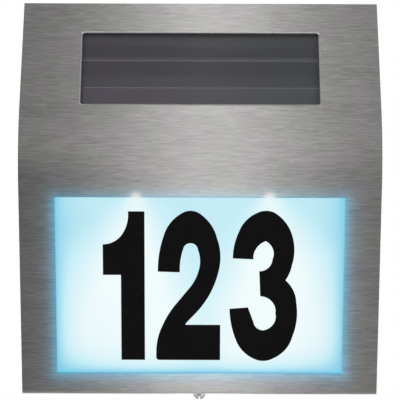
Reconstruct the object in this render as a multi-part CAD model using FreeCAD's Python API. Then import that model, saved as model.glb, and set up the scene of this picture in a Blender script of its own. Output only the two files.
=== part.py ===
import FreeCAD, Part

import math
import os

# Illuminated house number sign for a wall: a folded stainless sheet with a solar window
# above its soft bend and a glowing number window below it.
# Millimetres. X is to the right as seen from the front, Y runs back to the wall, Z is up.
# The origin lies on the wall plane, at the middle of the sign's width and height.

Vector = FreeCAD.Vector
Placement = FreeCAD.Placement
Rotation = FreeCAD.Rotation

# ---------------------------------------------------------------- the folded sheet
sheet_width = 180.0
sheet_thickness = 1.0
top_edge_gap = 4.5          # wall plane to the front face of the sheet at its top edge
upper_lean = 34.2           # degrees that the solar face leans back from upright
lower_lean = 19.0           # degrees that the number face leans back from upright
corner_height = 26.6        # height of the line where the two outer faces would meet
upper_rise = 73.7           # from that line up to the top edge
lower_drop = 125.2          # from that line down to the bottom edge
bend_radius = 42.0          # outer radius of the soft bend
fold_radius = 1.0           # inner radius of every tight fold in sheet metal
flange_wall_gap = 2.5       # rear edge of the bottom flange to the wall plane
bottom_corner_relief = 3.0  # the flange stops short of the sheet's sides

# ---------------------------------------------------------------- the two windows
window_side_margin = 18.0   # steel left and right of the number window
number_window_height = 94.0
number_window_drop = 26.9   # from the corner line down the slope to the window
solar_window_width = 120.0
solar_window_height = 45.0
solar_window_rise = 25.2    # from the corner line up the slope to the window
solar_window_top_radius = 1.5
window_radius = 0.4

# ---------------------------------------------------------------- number plate and digits
gasket_thickness = 0.8
gasket_setback = 1.0        # the gasket's opening is that much larger than the window
gasket_foot = 0.8           # the number gasket runs on below the plate
plate_thickness = 3.0
plate_overlap = 3.6         # the acrylic plate reaches that far under the steel
digit_thickness = 0.5
digit_height = 79.5
digit_sink = 0.65           # below the window's middle: they lie deeper than the sheet's front
digit_one_left = -48.5
digit_two_left = -21.9
digit_three_left = 15.0

# ---------------------------------------------------------------- solar panel
solar_overlap = 3.2
solar_panel_tail = 7.8      # the panel runs on under the bend below its window
solar_glass_thickness = 0.8
solar_cell_thickness = 0.2
solar_backing_thickness = 1.5
solar_cell_pitch = 16.95
solar_cell_gap = 0.4
solar_cell_count = 3
solar_cell_rise = 1.0       # the first strip reaches above the window's upper edge
solar_cell_side_inset = 0.4

# ---------------------------------------------------------------- moulded housing
housing_side_setback = 4.0  # the sheet stands out that far on both sides
housing_top = 88.0
housing_bottom = -92.3
housing_wall = 2.0
ledge_wall = 2.0            # wall behind the plate and behind the panel
ledge_margin = 2.0          # the ledges run on above and below their recess
seat_foot_margin = 1.2      # less below the panel, where the bend begins
fit_gap = 0.2               # plate and panel in their recesses
divider_height = 8.0        # underside of the wall between the two chambers
divider_thickness = 2.0
light_margin = 2.0          # light chamber wider than the window, each side
side_channel_wall = 1.5     # rim between the plate's recess and the screw channel
solar_seat_margin = 1.8     # rim round the panel's recess

# ---------------------------------------------------------------- rear cover
rear_cover_gap = 5.0        # wall plane to the cover's rear face
rear_cover_thickness = 2.2
rear_gasket_thickness = 0.5
boss_radius = 3.5
boss_side_offset = 5.0      # boss axis inside the housing's side
boss_heights = (-82.0, -36.0, 44.0)
boss_length = 7.0
rear_screw_radius = 1.45
rear_screw_length = 8.0
screw_head_radius = 2.75
screw_head_height = 1.8
screw_clearance = 0.15      # radial, round a screw's shank

# ---------------------------------------------------------------- weld studs
stud_radius = 1.5
stud_length = 7.2
stud_nut_gap = 0.35         # between a nut's flat and the housing's side wall
lower_stud_drops = (35.0, 95.0)
upper_stud_rise = 38.0
stud_nut_flats = 5.5
stud_nut_height = 2.4
stud_hole_clearance = 0.3
thread_clearance = 0.05

# ---------------------------------------------------------------- wall bracket
bracket_thickness = 1.5
crossbar_end = 2.0          # beyond each hook
crossbar_bottom = 61.0
hook_side_offset = 11.0     # hook's middle inside the housing's side
hook_width = 10.0
pivot_height = 80.0         # the cover's slots rest on the hooks here
hook_gap = 0.35             # between hook and slot at rest
lip_clearance = 0.8
lip_rise = 3.9
slot_side_clearance = 1.5
slot_height = 8.0
stem_width = 36.0
wall_slot_spacing = 100.0
wall_slot_height = 70.0
wall_slot_width = 5.0
wall_slot_length = 10.0
lower_hole_height = -60.0
lower_hole_radius = 2.5

# ---------------------------------------------------------------- lock screw at the bottom
lock_screw_depth = 6.5      # its axis in front of the wall plane
lock_radius = 1.5
lock_head_radius = 3.0
lock_head_height = 2.3
lock_head_rim = 0.5
lock_slot_width = 0.9
lock_slot_depth = 1.1
lock_washer_radius = 3.4
lock_washer_thickness = 0.4
lock_face_gap = 0.1         # between flange, washer and head
lock_tip_reach = 0.5        # the screw's tip stands out of the nut
lock_nut_flats = 5.5
lock_nut_height = 2.4
tab_gap = 0.35              # between flange, tab and nut
tab_width = 16.0
tab_reach = 9.5             # front end of the forked tab from the wall plane
fork_clearance = 0.3

# ---------------------------------------------------------------- circuit board and switch
board_left = -66.0
board_right = -26.0
board_bottom = 30.0
board_top = 62.0
board_thickness = 1.6
board_standoff = 3.8
board_post_radius = 2.3
board_post_inset = 3.5
board_screw_radius = 1.0
board_screw_length = 4.6
board_screw_head_radius = 1.9
board_screw_head_height = 1.2
switch_x = -47.0
switch_z = 44.0
switch_length = 9.0
switch_height = 4.0
switch_depth = 3.4
knob_length = 2.0
knob_height = 1.8
knob_proud = 0.8            # beyond the rear cover's outer face
knob_travel = 3.0
knob_clearance = 0.3

# ---------------------------------------------------------------- lights
led_spacing = 66.3
led_offset = 1.4            # the pair's middle, to the right of the sign's
led_side = 4.4
led_thickness = 1.6
led_dome_radius = 1.6
led_dome_height = 0.6
led_board_length = 84.0
led_board_width = 8.0
led_board_thickness = 1.2
led_board_gap = 1.2         # in front of the board, to the ledge behind the plate
reflector_thickness = 0.5
reflector_side_gap = 0.6
reflector_bottom_gap = 3.8  # above the housing's floor
reflector_cover_gap = 0.1   # between the film and the rear cover
reflector_knee = -70.0      # it leaves the rear cover at this height
reflector_shoulder = (9.0, 14.0)  # next knee, in front of the cover and below the divider
reflector_top_gap = (1.0, 0.4)    # behind the lamp board and below the divider
reflector_bends = [12.0, 40.0]

# ---------------------------------------------------------------- battery compartment
battery_radius = 7.1
battery_length = 50.5
battery_nub_radius = 2.75
battery_nub_length = 1.2
battery_height = 24.0       # axis above the sign's centre
battery_clearance = 0.3
spring_room = 3.3           # between the left contact plate and the cell
button_room = 2.2           # between the cell's nub and the right contact plate
tray_wall = 1.2
contact_thickness = 0.4
contact_width = 9.0
tab_width_contact = 3.0
contact_tab_rise = 3.2
door_stem_gap = 1.8         # between the door and the bracket's stem
door_margin_left = 0.8      # door beyond the tray
door_margin_right = 1.0
door_margin_low = 1.0
door_screw_gap = 1.4        # between the tray and a door screw's boss
door_thickness = 1.0
door_seal_thickness = 0.3  # its ledge is 0.1 deeper
door_edge_gap = 0.2
door_ledge = 0.8            # what is left of the rear cover under the door's seal
door_screw_inset = 9.6      # from the tray's ends
door_screw_edge = 3.4       # door's upper edge above its screws
door_screw_radius = 1.2
door_screw_length = 5.2
door_screw_head_radius = 2.2
door_screw_head_height = 1.2
door_boss_radius = 2.4
door_boss_length = 4.0

# ---------------------------------------------------------------- wires inside
wire_radius = 0.6
wire_spacing = 2.0          # between the two wires of a pair
wire_hole_radius = 2.2
solar_wire_x = -45.0
solar_wire_rise = 45.0      # where they leave the panel, up from the corner line
solar_wire_run = 6.0        # square to the panel before they turn down to the board
led_wire_x = -36.0
led_wire_rise = 4.0         # above the board's lower edge
led_wire_forward = 11.5     # in front of the board
led_wire_drop = 10.0        # down to where they turn into the divider's hole
lead_tab_drop = 1.2         # below the contact tab's tip
lead_board_inset = 3.0      # from the board's right edge
far_lead_rise = 18.0        # joint of the far contact's lead, above the board's lower edge
near_lead_rise = 14.0
far_lead_bends = [(60.0, 0.0, 0.0), (28.0, 6.5, 3.0), (0.0, 8.0, 7.0)]  # X, forward, up
near_lead_bends = [(14.0, 0.0, 0.0), (0.0, 2.0, 4.0)]
lead_board_run = 9.0        # square to the board at its joints
lead_board_reach = 11.0     # last bend before the board, to the right of the joints
lead_board_dip = 0.5        # and that far below them
far_lead_bow = 1.5          # and that far in front of the straight run
near_lead_bow = 0.5

# ---------------------------------------------------------------- worked out from the above
upper_angle = math.radians(upper_lean)
lower_angle = math.radians(lower_lean)
corner_y = -(top_edge_gap + upper_rise * math.tan(upper_angle))
top_z = corner_height + upper_rise
bottom_z = corner_height - lower_drop
bottom_y = corner_y + lower_drop * math.tan(lower_angle)
upper_face = Placement(Vector(0, corner_y, corner_height), Rotation(Vector(1, 0, 0), 90 - upper_lean))
lower_face = Placement(Vector(0, corner_y, corner_height), Rotation(Vector(1, 0, 0), 90 + lower_lean))

housing_half = sheet_width / 2 - housing_side_setback
number_window_width = sheet_width - 2 * window_side_margin
plate_front = sheet_thickness + gasket_thickness
plate_rear = plate_front + plate_thickness
number_top = -number_window_drop
number_bottom = number_top - number_window_height
plate_top = number_top + plate_overlap
plate_bottom = number_bottom - plate_overlap
plate_half = number_window_width / 2 + plate_overlap

solar_bottom = solar_window_rise
solar_top = solar_bottom + solar_window_height
panel_top = solar_top + solar_overlap
panel_bottom = solar_bottom - solar_panel_tail
panel_half = solar_window_width / 2 + solar_overlap
panel_rear = plate_front + solar_glass_thickness + solar_cell_thickness + solar_backing_thickness

boss_offset_x = housing_half - boss_side_offset
stud_offset_x = housing_half - housing_wall - stud_nut_flats / 2 - stud_nut_gap
hook_offset_x = housing_half - hook_side_offset
crossbar_half_length = hook_offset_x + hook_width / 2 + crossbar_end
cover_rear_y = -rear_cover_gap
cover_front_y = cover_rear_y - rear_cover_thickness
rim_y = cover_front_y - rear_gasket_thickness
tongue_top = pivot_height - hook_gap
lip_rear_y = cover_front_y - lip_clearance
tab_bottom = bottom_z + sheet_thickness + tab_gap
tab_top = tab_bottom + bracket_thickness
lock_y = -lock_screw_depth
lock_nut_bottom = tab_top + tab_gap
lock_nut_top = lock_nut_bottom + lock_nut_height
washer_top = bottom_z - lock_face_gap
washer_bottom = washer_top - lock_washer_thickness
head_top = washer_bottom - lock_face_gap
head_bottom = head_top - lock_head_height

board_rear_y = cover_front_y - board_standoff
board_front_y = board_rear_y - board_thickness
battery_y = cover_front_y - battery_clearance - battery_radius
tray_inner_half = battery_radius + battery_clearance
door_left = stem_width / 2 + door_stem_gap
tray_left = door_left + door_margin_left
battery_left = tray_left + tray_wall + contact_thickness + spring_room
tray_right = battery_left + battery_length + button_room + contact_thickness + tray_wall
door_right = tray_right + door_margin_right
door_bottom = battery_height - tray_inner_half - tray_wall - door_margin_low
door_screw_z = battery_height + tray_inner_half + tray_wall + door_screw_gap + door_boss_radius
door_top = door_screw_z + door_screw_edge


# ---------------------------------------------------------------- drawing helpers
def box(x_range, y_range, z_range):
    """A block between pairs of limits."""
    corner = Vector(min(x_range), min(y_range), min(z_range))
    return Part.makeBox(abs(x_range[1] - x_range[0]), abs(y_range[1] - y_range[0]),
                        abs(z_range[1] - z_range[0]), corner)


def rod(radius, start, end):
    """A round bar from one point to another."""
    way = end.sub(start)
    return Part.makeCylinder(radius, way.Length, start, way)


def on_face(shape, face):
    """Moves a shape drawn flat (x across, y up the slope, z outwards) onto a face of the sheet."""
    moved = shape.copy()
    moved.Placement = face.multiply(moved.Placement)
    return moved


def slab(face, half_width, low, high, outer, inner):
    """A flat layer of a sloping face: across, up the slope, and between two depths behind it."""
    return on_face(box((-half_width, half_width), (low, high), (-inner, -outer)), face)


def rounded_outline(points, radii):
    """Edges of a closed flat outline whose corners are rounded by their own radii."""
    edges = []
    first = None
    last = None
    count = len(points)
    for index in range(count):
        here = points[index]
        radius = radii[index]
        if radius <= 0:
            enter = here
            leave = here
            middle = None
        else:
            back = points[index - 1].sub(here).normalize()
            ahead = points[(index + 1) % count].sub(here).normalize()
            half_angle = back.getAngle(ahead) / 2
            reach = radius / math.tan(half_angle)
            enter = here.add(Vector(back).multiply(reach))
            leave = here.add(Vector(ahead).multiply(reach))
            bisector = back.add(ahead).normalize()
            middle = here.add(bisector.multiply(radius / math.sin(half_angle) - radius))
        if last is None:
            first = enter
        elif last.sub(enter).Length > 1e-6:
            edges.append(Part.LineSegment(last, enter).toShape())
        if middle is not None:
            edges.append(Part.Arc(enter, middle, leave).toShape())
        last = leave
    if last.sub(first).Length > 1e-6:
        edges.append(Part.LineSegment(last, first).toShape())
    return edges


def rounded_plate(points, radii, thickness_way):
    """A flat outline drawn out along a vector."""
    wire = Part.Wire(rounded_outline(points, radii))
    return Part.Face(wire).extrude(thickness_way)


def section(points, radii, half_width):
    """A side outline of (y, z) points, drawn out to both sides of the middle."""
    corners = [Vector(-half_width, y, z) for y, z in points]
    return rounded_plate(corners, radii, Vector(2 * half_width, 0, 0))


def offset_points(points, distance):
    """An open line of (y, z) points moved to its left, its corners kept sharp."""
    ways = []
    for (y0, z0), (y1, z1) in zip(points, points[1:]):
        length = math.hypot(y1 - y0, z1 - z0)
        ways.append(((y1 - y0) / length, (z1 - z0) / length))
    moved = []
    for index, (y, z) in enumerate(points):
        before = ways[max(index - 1, 0)]
        after = ways[min(index, len(ways) - 1)]
        normal_y = -(before[1] + after[1])
        normal_z = before[0] + after[0]
        share = distance / (1 + before[0] * after[0] + before[1] * after[1])
        moved.append((y + normal_y * share, z + normal_z * share))
    return moved


def bent_sheet(points, inner_radii, thickness, half_width):
    """Sheet metal that lies to the left of a line of (y, z) points, bent at its inner points."""
    other = offset_points(points, thickness)
    near = [0.0]
    far = [0.0]
    for index, inner in enumerate(inner_radii, start=1):
        (y0, z0), (y1, z1), (y2, z2) = points[index - 1:index + 2]
        left_turn = (y1 - y0) * (z2 - z1) - (z1 - z0) * (y2 - y1) > 0
        near.append(inner + thickness if left_turn else inner)
        far.append(inner if left_turn else inner + thickness)
    near.append(0.0)
    far.append(0.0)
    return section(points + other[::-1], near + far[::-1], half_width)


def slope_y(depth, z):
    """The y of a point at height z that lies a depth behind the sheet's outer faces."""
    rise = z - corner_height
    upper = corner_y + (depth + math.sin(upper_angle) * rise) / math.cos(upper_angle)
    lower = corner_y + (depth - math.sin(lower_angle) * rise) / math.cos(lower_angle)
    return max(upper, lower)


def inner_corner(depth):
    """Where the two faces meet after both have moved back by a depth."""
    spread = math.sin(upper_angle + lower_angle)
    y = corner_y + depth * (math.sin(upper_angle) + math.sin(lower_angle)) / spread
    z = corner_height + depth * (math.cos(upper_angle) - math.cos(lower_angle)) / spread
    return (y, z)


def wedge(depth, bottom, top, rear_y, half_width):
    """The space behind the sheet: two sloping faces, a soft bend, and an upright back."""
    points = [(rear_y, top), (slope_y(depth, top), top), inner_corner(depth),
              (slope_y(depth, bottom), bottom), (rear_y, bottom)]
    return section(points, [0, 0, bend_radius - depth, 0, 0], half_width)


def join(shapes):
    """One solid from several that touch or overlap."""
    whole = shapes[0]
    if len(shapes) > 1:
        whole = shapes[0].multiFuse(shapes[1:])
    return whole.removeSplitter()


def hexagon(flats, height, base, way):
    """A six-sided nut blank that stands on a point."""
    turn = Rotation(Vector(0, 0, 1), way)
    corner = flats / math.sqrt(3)
    turns = [math.radians(60 * k + 30) for k in range(6)]
    ring = [Vector(corner * math.cos(angle), corner * math.sin(angle), 0) for angle in turns]
    solid = Part.Face(Part.makePolygon(ring + ring[:1])).extrude(Vector(0, 0, height))
    solid.Placement = Placement(base, turn)
    return solid


def outline_solid(strokes, thickness):
    """A flat shape from a start point and strokes: one point is a line, two points are an arc."""
    edges = []
    start = Vector(strokes[0][0], strokes[0][1], 0)
    here = start
    for stroke in strokes[1:]:
        ends = [Vector(x, y, 0) for x, y in stroke]
        if len(ends) == 1:
            edges.append(Part.LineSegment(here, ends[0]).toShape())
        else:
            edges.append(Part.Arc(here, ends[0], ends[1]).toShape())
        here = ends[-1]
    edges.append(Part.LineSegment(here, start).toShape())
    return Part.Face(Part.Wire(edges)).extrude(Vector(0, 0, thickness))


def wire_tube(name, points):
    """A wire along straight runs joined by tangent arcs, with its radii printed."""
    runs = [b.sub(a) for a, b in zip(points, points[1:])]
    edges = []
    radii = []
    here = points[0]
    for index in range(1, len(points) - 1):
        before = runs[index - 1]
        after = runs[index]
        half_turn = before.getAngle(after) / 2
        reach = 0.45 * min(before.Length, after.Length)
        radius = reach / math.tan(half_turn)
        enter = points[index].sub(Vector(before).normalize().multiply(reach))
        leave = points[index].add(Vector(after).normalize().multiply(reach))
        inwards = Vector(after).normalize().sub(Vector(before).normalize()).normalize()
        bulge = radius / math.cos(half_turn) - radius
        middle = points[index].add(inwards.multiply(bulge))
        edges.append(Part.LineSegment(here, enter).toShape())
        edges.append(Part.Arc(enter, middle, leave).toShape())
        radii.append(round(radius, 1))
        here = leave
    edges.append(Part.LineSegment(here, points[-1]).toShape())
    path = Part.Wire(edges)
    ring = Part.Wire(Part.makeCircle(wire_radius, points[0], runs[0]))
    tube = path.makePipeShell([ring], True, True)
    length = path.Length
    share = tube.Volume / (math.pi * wire_radius ** 2 * length)
    print(f"{name}: length {length:.1f} mm, volume share {share:.4f}, radii {radii}")
    return tube


def wire_pair(name, points):
    """Two wires side by side, along the same route."""
    half = Vector(wire_spacing / 2, 0, 0)
    left = wire_tube(name + " left", [point.sub(half) for point in points])
    right = wire_tube(name + " right", [point.add(half) for point in points])
    return Part.makeCompound([left, right])


def window_block(face, width, low, high, radii, outer, inner):
    """The space of a window through the sheet, with its own corner radii, between two depths."""
    half = width / 2
    corners = [Vector(-half, low, -inner), Vector(half, low, -inner),
               Vector(half, high, -inner), Vector(-half, high, -inner)]
    return on_face(rounded_plate(corners, radii, Vector(0, 0, inner - outer)), face)


# ---------------------------------------------------------------- front sheet and what is behind it
def front_cover():
    outer = [(-top_edge_gap, top_z), (corner_y, corner_height), (bottom_y, bottom_z),
             (-flange_wall_gap, bottom_z)]
    radii = [bend_radius - sheet_thickness, fold_radius]
    sheet = bent_sheet(outer, radii, sheet_thickness, sheet_width / 2)
    through = 3 * sheet_thickness
    number = window_block(lower_face, number_window_width, number_bottom, number_top,
                          [window_radius] * 4, -through, through)
    solar_radii = [window_radius, window_radius, solar_window_top_radius, solar_window_top_radius]
    solar = window_block(upper_face, solar_window_width, solar_bottom, solar_top,
                         solar_radii, -through, through)
    cuts = [number, solar]
    flange_front = bottom_y + sheet_thickness + fold_radius
    for side in (-1, 1):
        edge = side * sheet_width / 2
        inside = edge - side * bottom_corner_relief
        cuts.append(box((inside, edge + side), (flange_front, 0), (bottom_z - 1, bottom_z + 3)))
    cuts.append(rod(lock_radius + screw_clearance, Vector(0, lock_y, bottom_z - 1),
                    Vector(0, lock_y, bottom_z + sheet_thickness + 1)))
    return sheet.cut(cuts)


def stud_places():
    """Foot and direction of each stud, on the sheet's inner face."""
    places = []
    for side in (-1, 1):
        for drop in lower_stud_drops:
            places.append((lower_face, side * stud_offset_x, -drop))
        places.append((upper_face, side * stud_offset_x, upper_stud_rise))
    return places


def stud_blank(radius, outer, inner):
    """One round bar per stud, between two depths behind the sheet's front."""
    bars = []
    for face, across, along in stud_places():
        bar = rod(radius, Vector(across, along, -outer), Vector(across, along, -inner))
        bars.append(on_face(bar, face))
    return bars


def weld_studs():
    return Part.makeCompound(stud_blank(stud_radius, sheet_thickness, sheet_thickness + stud_length))


def stud_nuts():
    nuts = []
    bores = stud_blank(stud_radius + thread_clearance, 0, sheet_thickness + stud_length + 1)
    seat = plate_front + housing_wall
    for (face, across, along), bore in zip(stud_places(), bores):
        blank = hexagon(stud_nut_flats, stud_nut_height, Vector(across, along, -seat), Vector(0, 0, -1))
        nuts.append(on_face(blank, face).cut(bore))
    return Part.makeCompound(nuts)


def number_gasket():
    low = plate_bottom - gasket_foot
    high = -bend_radius * math.tan((upper_angle + lower_angle) / 2)
    sheet = slab(lower_face, housing_half, low, high, sheet_thickness, plate_front)
    opening = slab(lower_face, number_window_width / 2 + gasket_setback, number_bottom - gasket_setback,
                   number_top + gasket_setback, 0, plate_rear)
    holes = stud_blank(stud_radius + stud_hole_clearance, 0, plate_rear)
    return sheet.cut([opening] + holes)


def solar_gasket():
    low = bend_radius * math.tan((upper_angle + lower_angle) / 2)
    high = panel_top + solar_seat_margin
    sheet = slab(upper_face, housing_half, low, high, sheet_thickness, plate_front)
    opening = slab(upper_face, solar_window_width / 2 + gasket_setback, solar_bottom - gasket_setback,
                   solar_top + gasket_setback, 0, panel_rear)
    holes = stud_blank(stud_radius + stud_hole_clearance, 0, plate_rear)
    return sheet.cut([opening] + holes)


def number_plate():
    return slab(lower_face, plate_half, plate_bottom, plate_top, plate_front, plate_rear)


# ---------------------------------------------------------------- digits, from their lower left corner
digit_one_strokes = [
    (9.0, 0.0), [(20.9, 0.0)], [(20.9, 79.5)], [(12.7, 79.5)],
    [(11.6, 71.2), (8.9, 66.2)], [(5.2, 63.3), (0.0, 62.0)],
    [(0.0, 45.9)], [(9.0, 45.9)],
]
digit_two_strokes = [
    (0.9, 47.7), [(1.6, 57.4), (3.9, 66.8)], [(8.1, 74.6), (12.9, 78.6)], [(17.3, 79.9), (21.7, 78.5)],
    [(26.4, 74.0), (30.4, 65.7)], [(32.2, 56.0), (31.1, 47.0)], [(27.1, 36.0), (20.5, 26.1)],
    [(15.2, 20.2)], [(14.6, 19.0)], [(32.3, 19.0)], [(32.3, 0.0)], [(1.5, 0.0)],
    [(0.4, 0.5), (0.0, 1.6)], [(0.0, 4.0)], [(0.9, 12.0), (3.2, 18.6)], [(6.4, 25.0), (10.7, 31.1)],
    [(16.1, 38.0)], [(19.5, 43.2), (21.4, 48.4)], [(22.0, 54.2), (20.9, 59.6)],
    [(17.3, 62.9), (13.6, 59.8)], [(12.3, 54.2), (11.9, 47.4)],
]
digit_three_strokes = [
    (1.5, 54.9), [(2.3, 62.3), (4.5, 69.0)], [(8.7, 75.6), (13.5, 78.9)], [(18.1, 80.0), (22.5, 78.8)],
    [(26.4, 75.4), (30.1, 69.7)], [(32.2, 60.4), (31.1, 51.3)], [(29.9, 47.0), (27.9, 43.2)],
    [(31.7, 38.3), (33.6, 31.1)], [(33.9, 22.0), (31.8, 12.8)], [(27.7, 5.0), (22.1, 0.9)],
    [(17.0, -0.4), (12.2, 0.9)], [(7.2, 4.6), (3.3, 11.0)],
    [(0.9, 19.3), (0.0, 27.7)], [(9.3, 28.5)], [(12.2, 20.3)],
    [(14.0, 17.2), (17.1, 16.1)], [(21.6, 18.7), (23.1, 25.4)], [(21.3, 31.8), (15.4, 34.7)],
    [(14.8, 47.9)], [(19.2, 49.6), (21.3, 54.2)], [(21.0, 61.0), (17.9, 64.1)],
    [(14.2, 61.6), (11.8, 54.4)],
]


def digit(strokes, left):
    """A digit lying on the number plate's front, centred in the window's height."""
    base = number_bottom + (number_window_height - digit_height) / 2 - digit_sink
    flat = outline_solid(strokes, digit_thickness)
    flat.Placement = Placement(Vector(left, base, -plate_front), Rotation())
    return on_face(flat, lower_face)


# ---------------------------------------------------------------- solar panel
def panel_layer(outer, thickness):
    return slab(upper_face, panel_half, panel_bottom, panel_top, outer, outer + thickness)


def solar_glass():
    return panel_layer(plate_front, solar_glass_thickness)


def solar_cells():
    outer = plate_front + solar_glass_thickness
    strips = []
    for index in range(solar_cell_count):
        high = solar_top + solar_cell_rise - index * solar_cell_pitch
        low = high - solar_cell_pitch + solar_cell_gap
        strips.append(slab(upper_face, solar_window_width / 2 - solar_cell_side_inset, low, high, outer,
                           outer + solar_cell_thickness))
    return Part.makeCompound(strips)


def solar_backing():
    return panel_layer(plate_front + solar_glass_thickness + solar_cell_thickness, solar_backing_thickness)


# ---------------------------------------------------------------- housing
def boss_places():
    return [(side * boss_offset_x, height) for side in (-1, 1) for height in boss_heights]


def light_opening():
    """The light chamber's front opening, behind the number plate."""
    return slab(lower_face, number_window_width / 2 + light_margin, number_bottom - light_margin,
                number_top + light_margin, plate_front, plate_rear + 2 * ledge_wall)


def housing():
    outside = wedge(plate_front, housing_bottom, housing_top, rim_y, housing_half)
    inner_half = housing_half - housing_wall
    inner_depth = plate_front + housing_wall
    inside = wedge(inner_depth, housing_bottom + housing_wall, housing_top - housing_wall, 0, inner_half)
    shell = outside.cut(inside)
    divider = box((-inner_half, inner_half), (rim_y, corner_y),
                  (divider_height, divider_height + divider_thickness))
    ledge_half = plate_half + fit_gap + side_channel_wall
    ledge = slab(lower_face, ledge_half, plate_bottom - fit_gap - ledge_margin,
                 plate_top + fit_gap + ledge_margin, plate_front, plate_rear + ledge_wall)
    seat_half = panel_half + fit_gap + solar_seat_margin
    seat = slab(upper_face, seat_half, panel_bottom - fit_gap - seat_foot_margin,
                panel_top + fit_gap + ledge_margin, plate_front, panel_rear + ledge_wall)
    bosses = []
    for x, z in boss_places():
        bosses.append(rod(boss_radius, Vector(x, rim_y, z), Vector(x, slope_y(plate_front, z), z)))
    extras = [piece.common(outside) for piece in [divider, ledge, seat] + bosses]
    body = join([shell] + extras)
    cuts = [slab(lower_face, plate_half + fit_gap, plate_bottom - fit_gap, plate_top + fit_gap,
                 0, plate_rear),
            light_opening(),
            slab(upper_face, panel_half + fit_gap, panel_bottom - fit_gap, panel_top + fit_gap,
                 0, panel_rear)]
    for x, z in boss_places():
        pilot = rear_screw_radius + thread_clearance
        cuts.append(rod(pilot, Vector(x, 0, z), Vector(x, rim_y - boss_length, z)))
    cuts += stud_blank(stud_radius + stud_hole_clearance, 0, plate_rear)
    wire_hole = rod(wire_hole_radius, Vector(solar_wire_x, solar_wire_rise, -panel_rear + 1),
                    Vector(solar_wire_x, solar_wire_rise, -panel_rear - 2 * ledge_wall))
    cuts.append(on_face(wire_hole, upper_face))
    cuts.append(rod(wire_hole_radius, Vector(led_wire_x, led_board_y, divider_height - 1),
                    Vector(led_wire_x, led_board_y, divider_height + divider_thickness + 1)))
    return body.cut(cuts)


# ---------------------------------------------------------------- rear cover and its screws
def rear_gasket():
    ring_y = (cover_front_y, rim_y)
    outer = box((-housing_half, housing_half), ring_y, (housing_bottom, housing_top))
    inner_half = housing_half - housing_wall
    inner = box((-inner_half, inner_half), ring_y,
                (housing_bottom + housing_wall, housing_top - housing_wall))
    ring = outer.cut(inner)
    eyes = [rod(boss_radius, Vector(x, cover_front_y, z), Vector(x, rim_y, z)) for x, z in boss_places()]
    holes = [rod(rear_screw_radius + screw_clearance, Vector(x, 0, z), Vector(x, rim_y - 1, z))
             for x, z in boss_places()]
    return join([ring] + eyes).cut(holes)


def door_screw_places():
    return [(x, door_screw_z) for x in (tray_left + door_screw_inset, tray_right - door_screw_inset)]


def rear_cover():
    plate = box((-housing_half, housing_half), (cover_rear_y, cover_front_y), (housing_bottom, housing_top))
    posts = [rod(board_post_radius, Vector(x, cover_front_y, z), Vector(x, board_rear_y, z))
             for x, z in board_post_places()]
    for x, z in door_screw_places():
        posts.append(rod(door_boss_radius, Vector(x, cover_front_y, z),
                         Vector(x, cover_front_y - door_boss_length, z)))
    body = join([plate] + posts)
    cuts = [rod(rear_screw_radius + screw_clearance, Vector(x, 0, z), Vector(x, cover_front_y - 1, z))
            for x, z in boss_places()]
    slot_half = hook_width / 2 + slot_side_clearance
    for side in (-1, 1):
        middle = side * hook_offset_x
        cuts.append(box((middle - slot_half, middle + slot_half), (0, rim_y),
                        (pivot_height - slot_height, pivot_height)))
    ledge_y = cover_front_y + door_ledge
    cuts.append(box((door_left - door_edge_gap, door_right + door_edge_gap), (0, ledge_y),
                    (door_bottom - door_edge_gap, door_top + door_edge_gap)))
    cuts.append(box((tray_left + tray_wall, tray_right - tray_wall), (0, rim_y),
                    (battery_height - tray_inner_half, battery_height + tray_inner_half)))
    for x, z in door_screw_places():
        cuts.append(rod(door_screw_radius + screw_clearance, Vector(x, 0, z),
                        Vector(x, cover_front_y - door_boss_length + 0.6, z)))
    for x, z in board_post_places():
        cuts.append(rod(board_screw_radius + thread_clearance, Vector(x, board_rear_y - 1, z),
                        Vector(x, board_rear_y + board_screw_length - board_thickness + 0.4, z)))
    knob_half = (knob_length + knob_travel) / 2 + knob_clearance
    knob_rise = knob_height / 2 + knob_clearance
    middle = switch_x + knob_travel / 2
    cuts.append(box((middle - knob_half, middle + knob_half), (0, rim_y),
                    (switch_z - knob_rise, switch_z + knob_rise)))
    return body.cut(cuts)


def pan_screw(seat, way, radius, length, head_radius, head_height):
    """A screw with a domed head and a cross recess; its head stands on the seat."""
    back = Vector(way).multiply(-1)
    shank = rod(radius, seat, seat.add(Vector(way).multiply(length)))
    head = rod(head_radius, seat, seat.add(Vector(back).multiply(head_height)))
    top_edge = [edge for edge in head.Edges
                if abs(edge.BoundBox.Center.sub(seat).dot(back) - head_height) < 1e-6]
    head = head.makeFillet(head_height * 0.6, top_edge[:1])
    screw = join([head, shank])
    recess_width = head_radius * 0.32
    frame = Placement(seat, Rotation(Vector(0, 0, 1), back))
    for half_x, half_y in ((head_radius * 0.55, recess_width / 2), (recess_width / 2, head_radius * 0.55)):
        slot = box((-half_x, half_x), (-half_y, half_y), (head_height * 0.45, head_height + 1))
        slot.Placement = frame
        screw = screw.cut(slot)
    return screw


def rear_screws():
    inwards = Vector(0, -1, 0)
    return Part.makeCompound([pan_screw(Vector(x, cover_rear_y, z), inwards, rear_screw_radius,
                                        rear_screw_length, screw_head_radius, screw_head_height)
                              for x, z in boss_places()])


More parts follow.
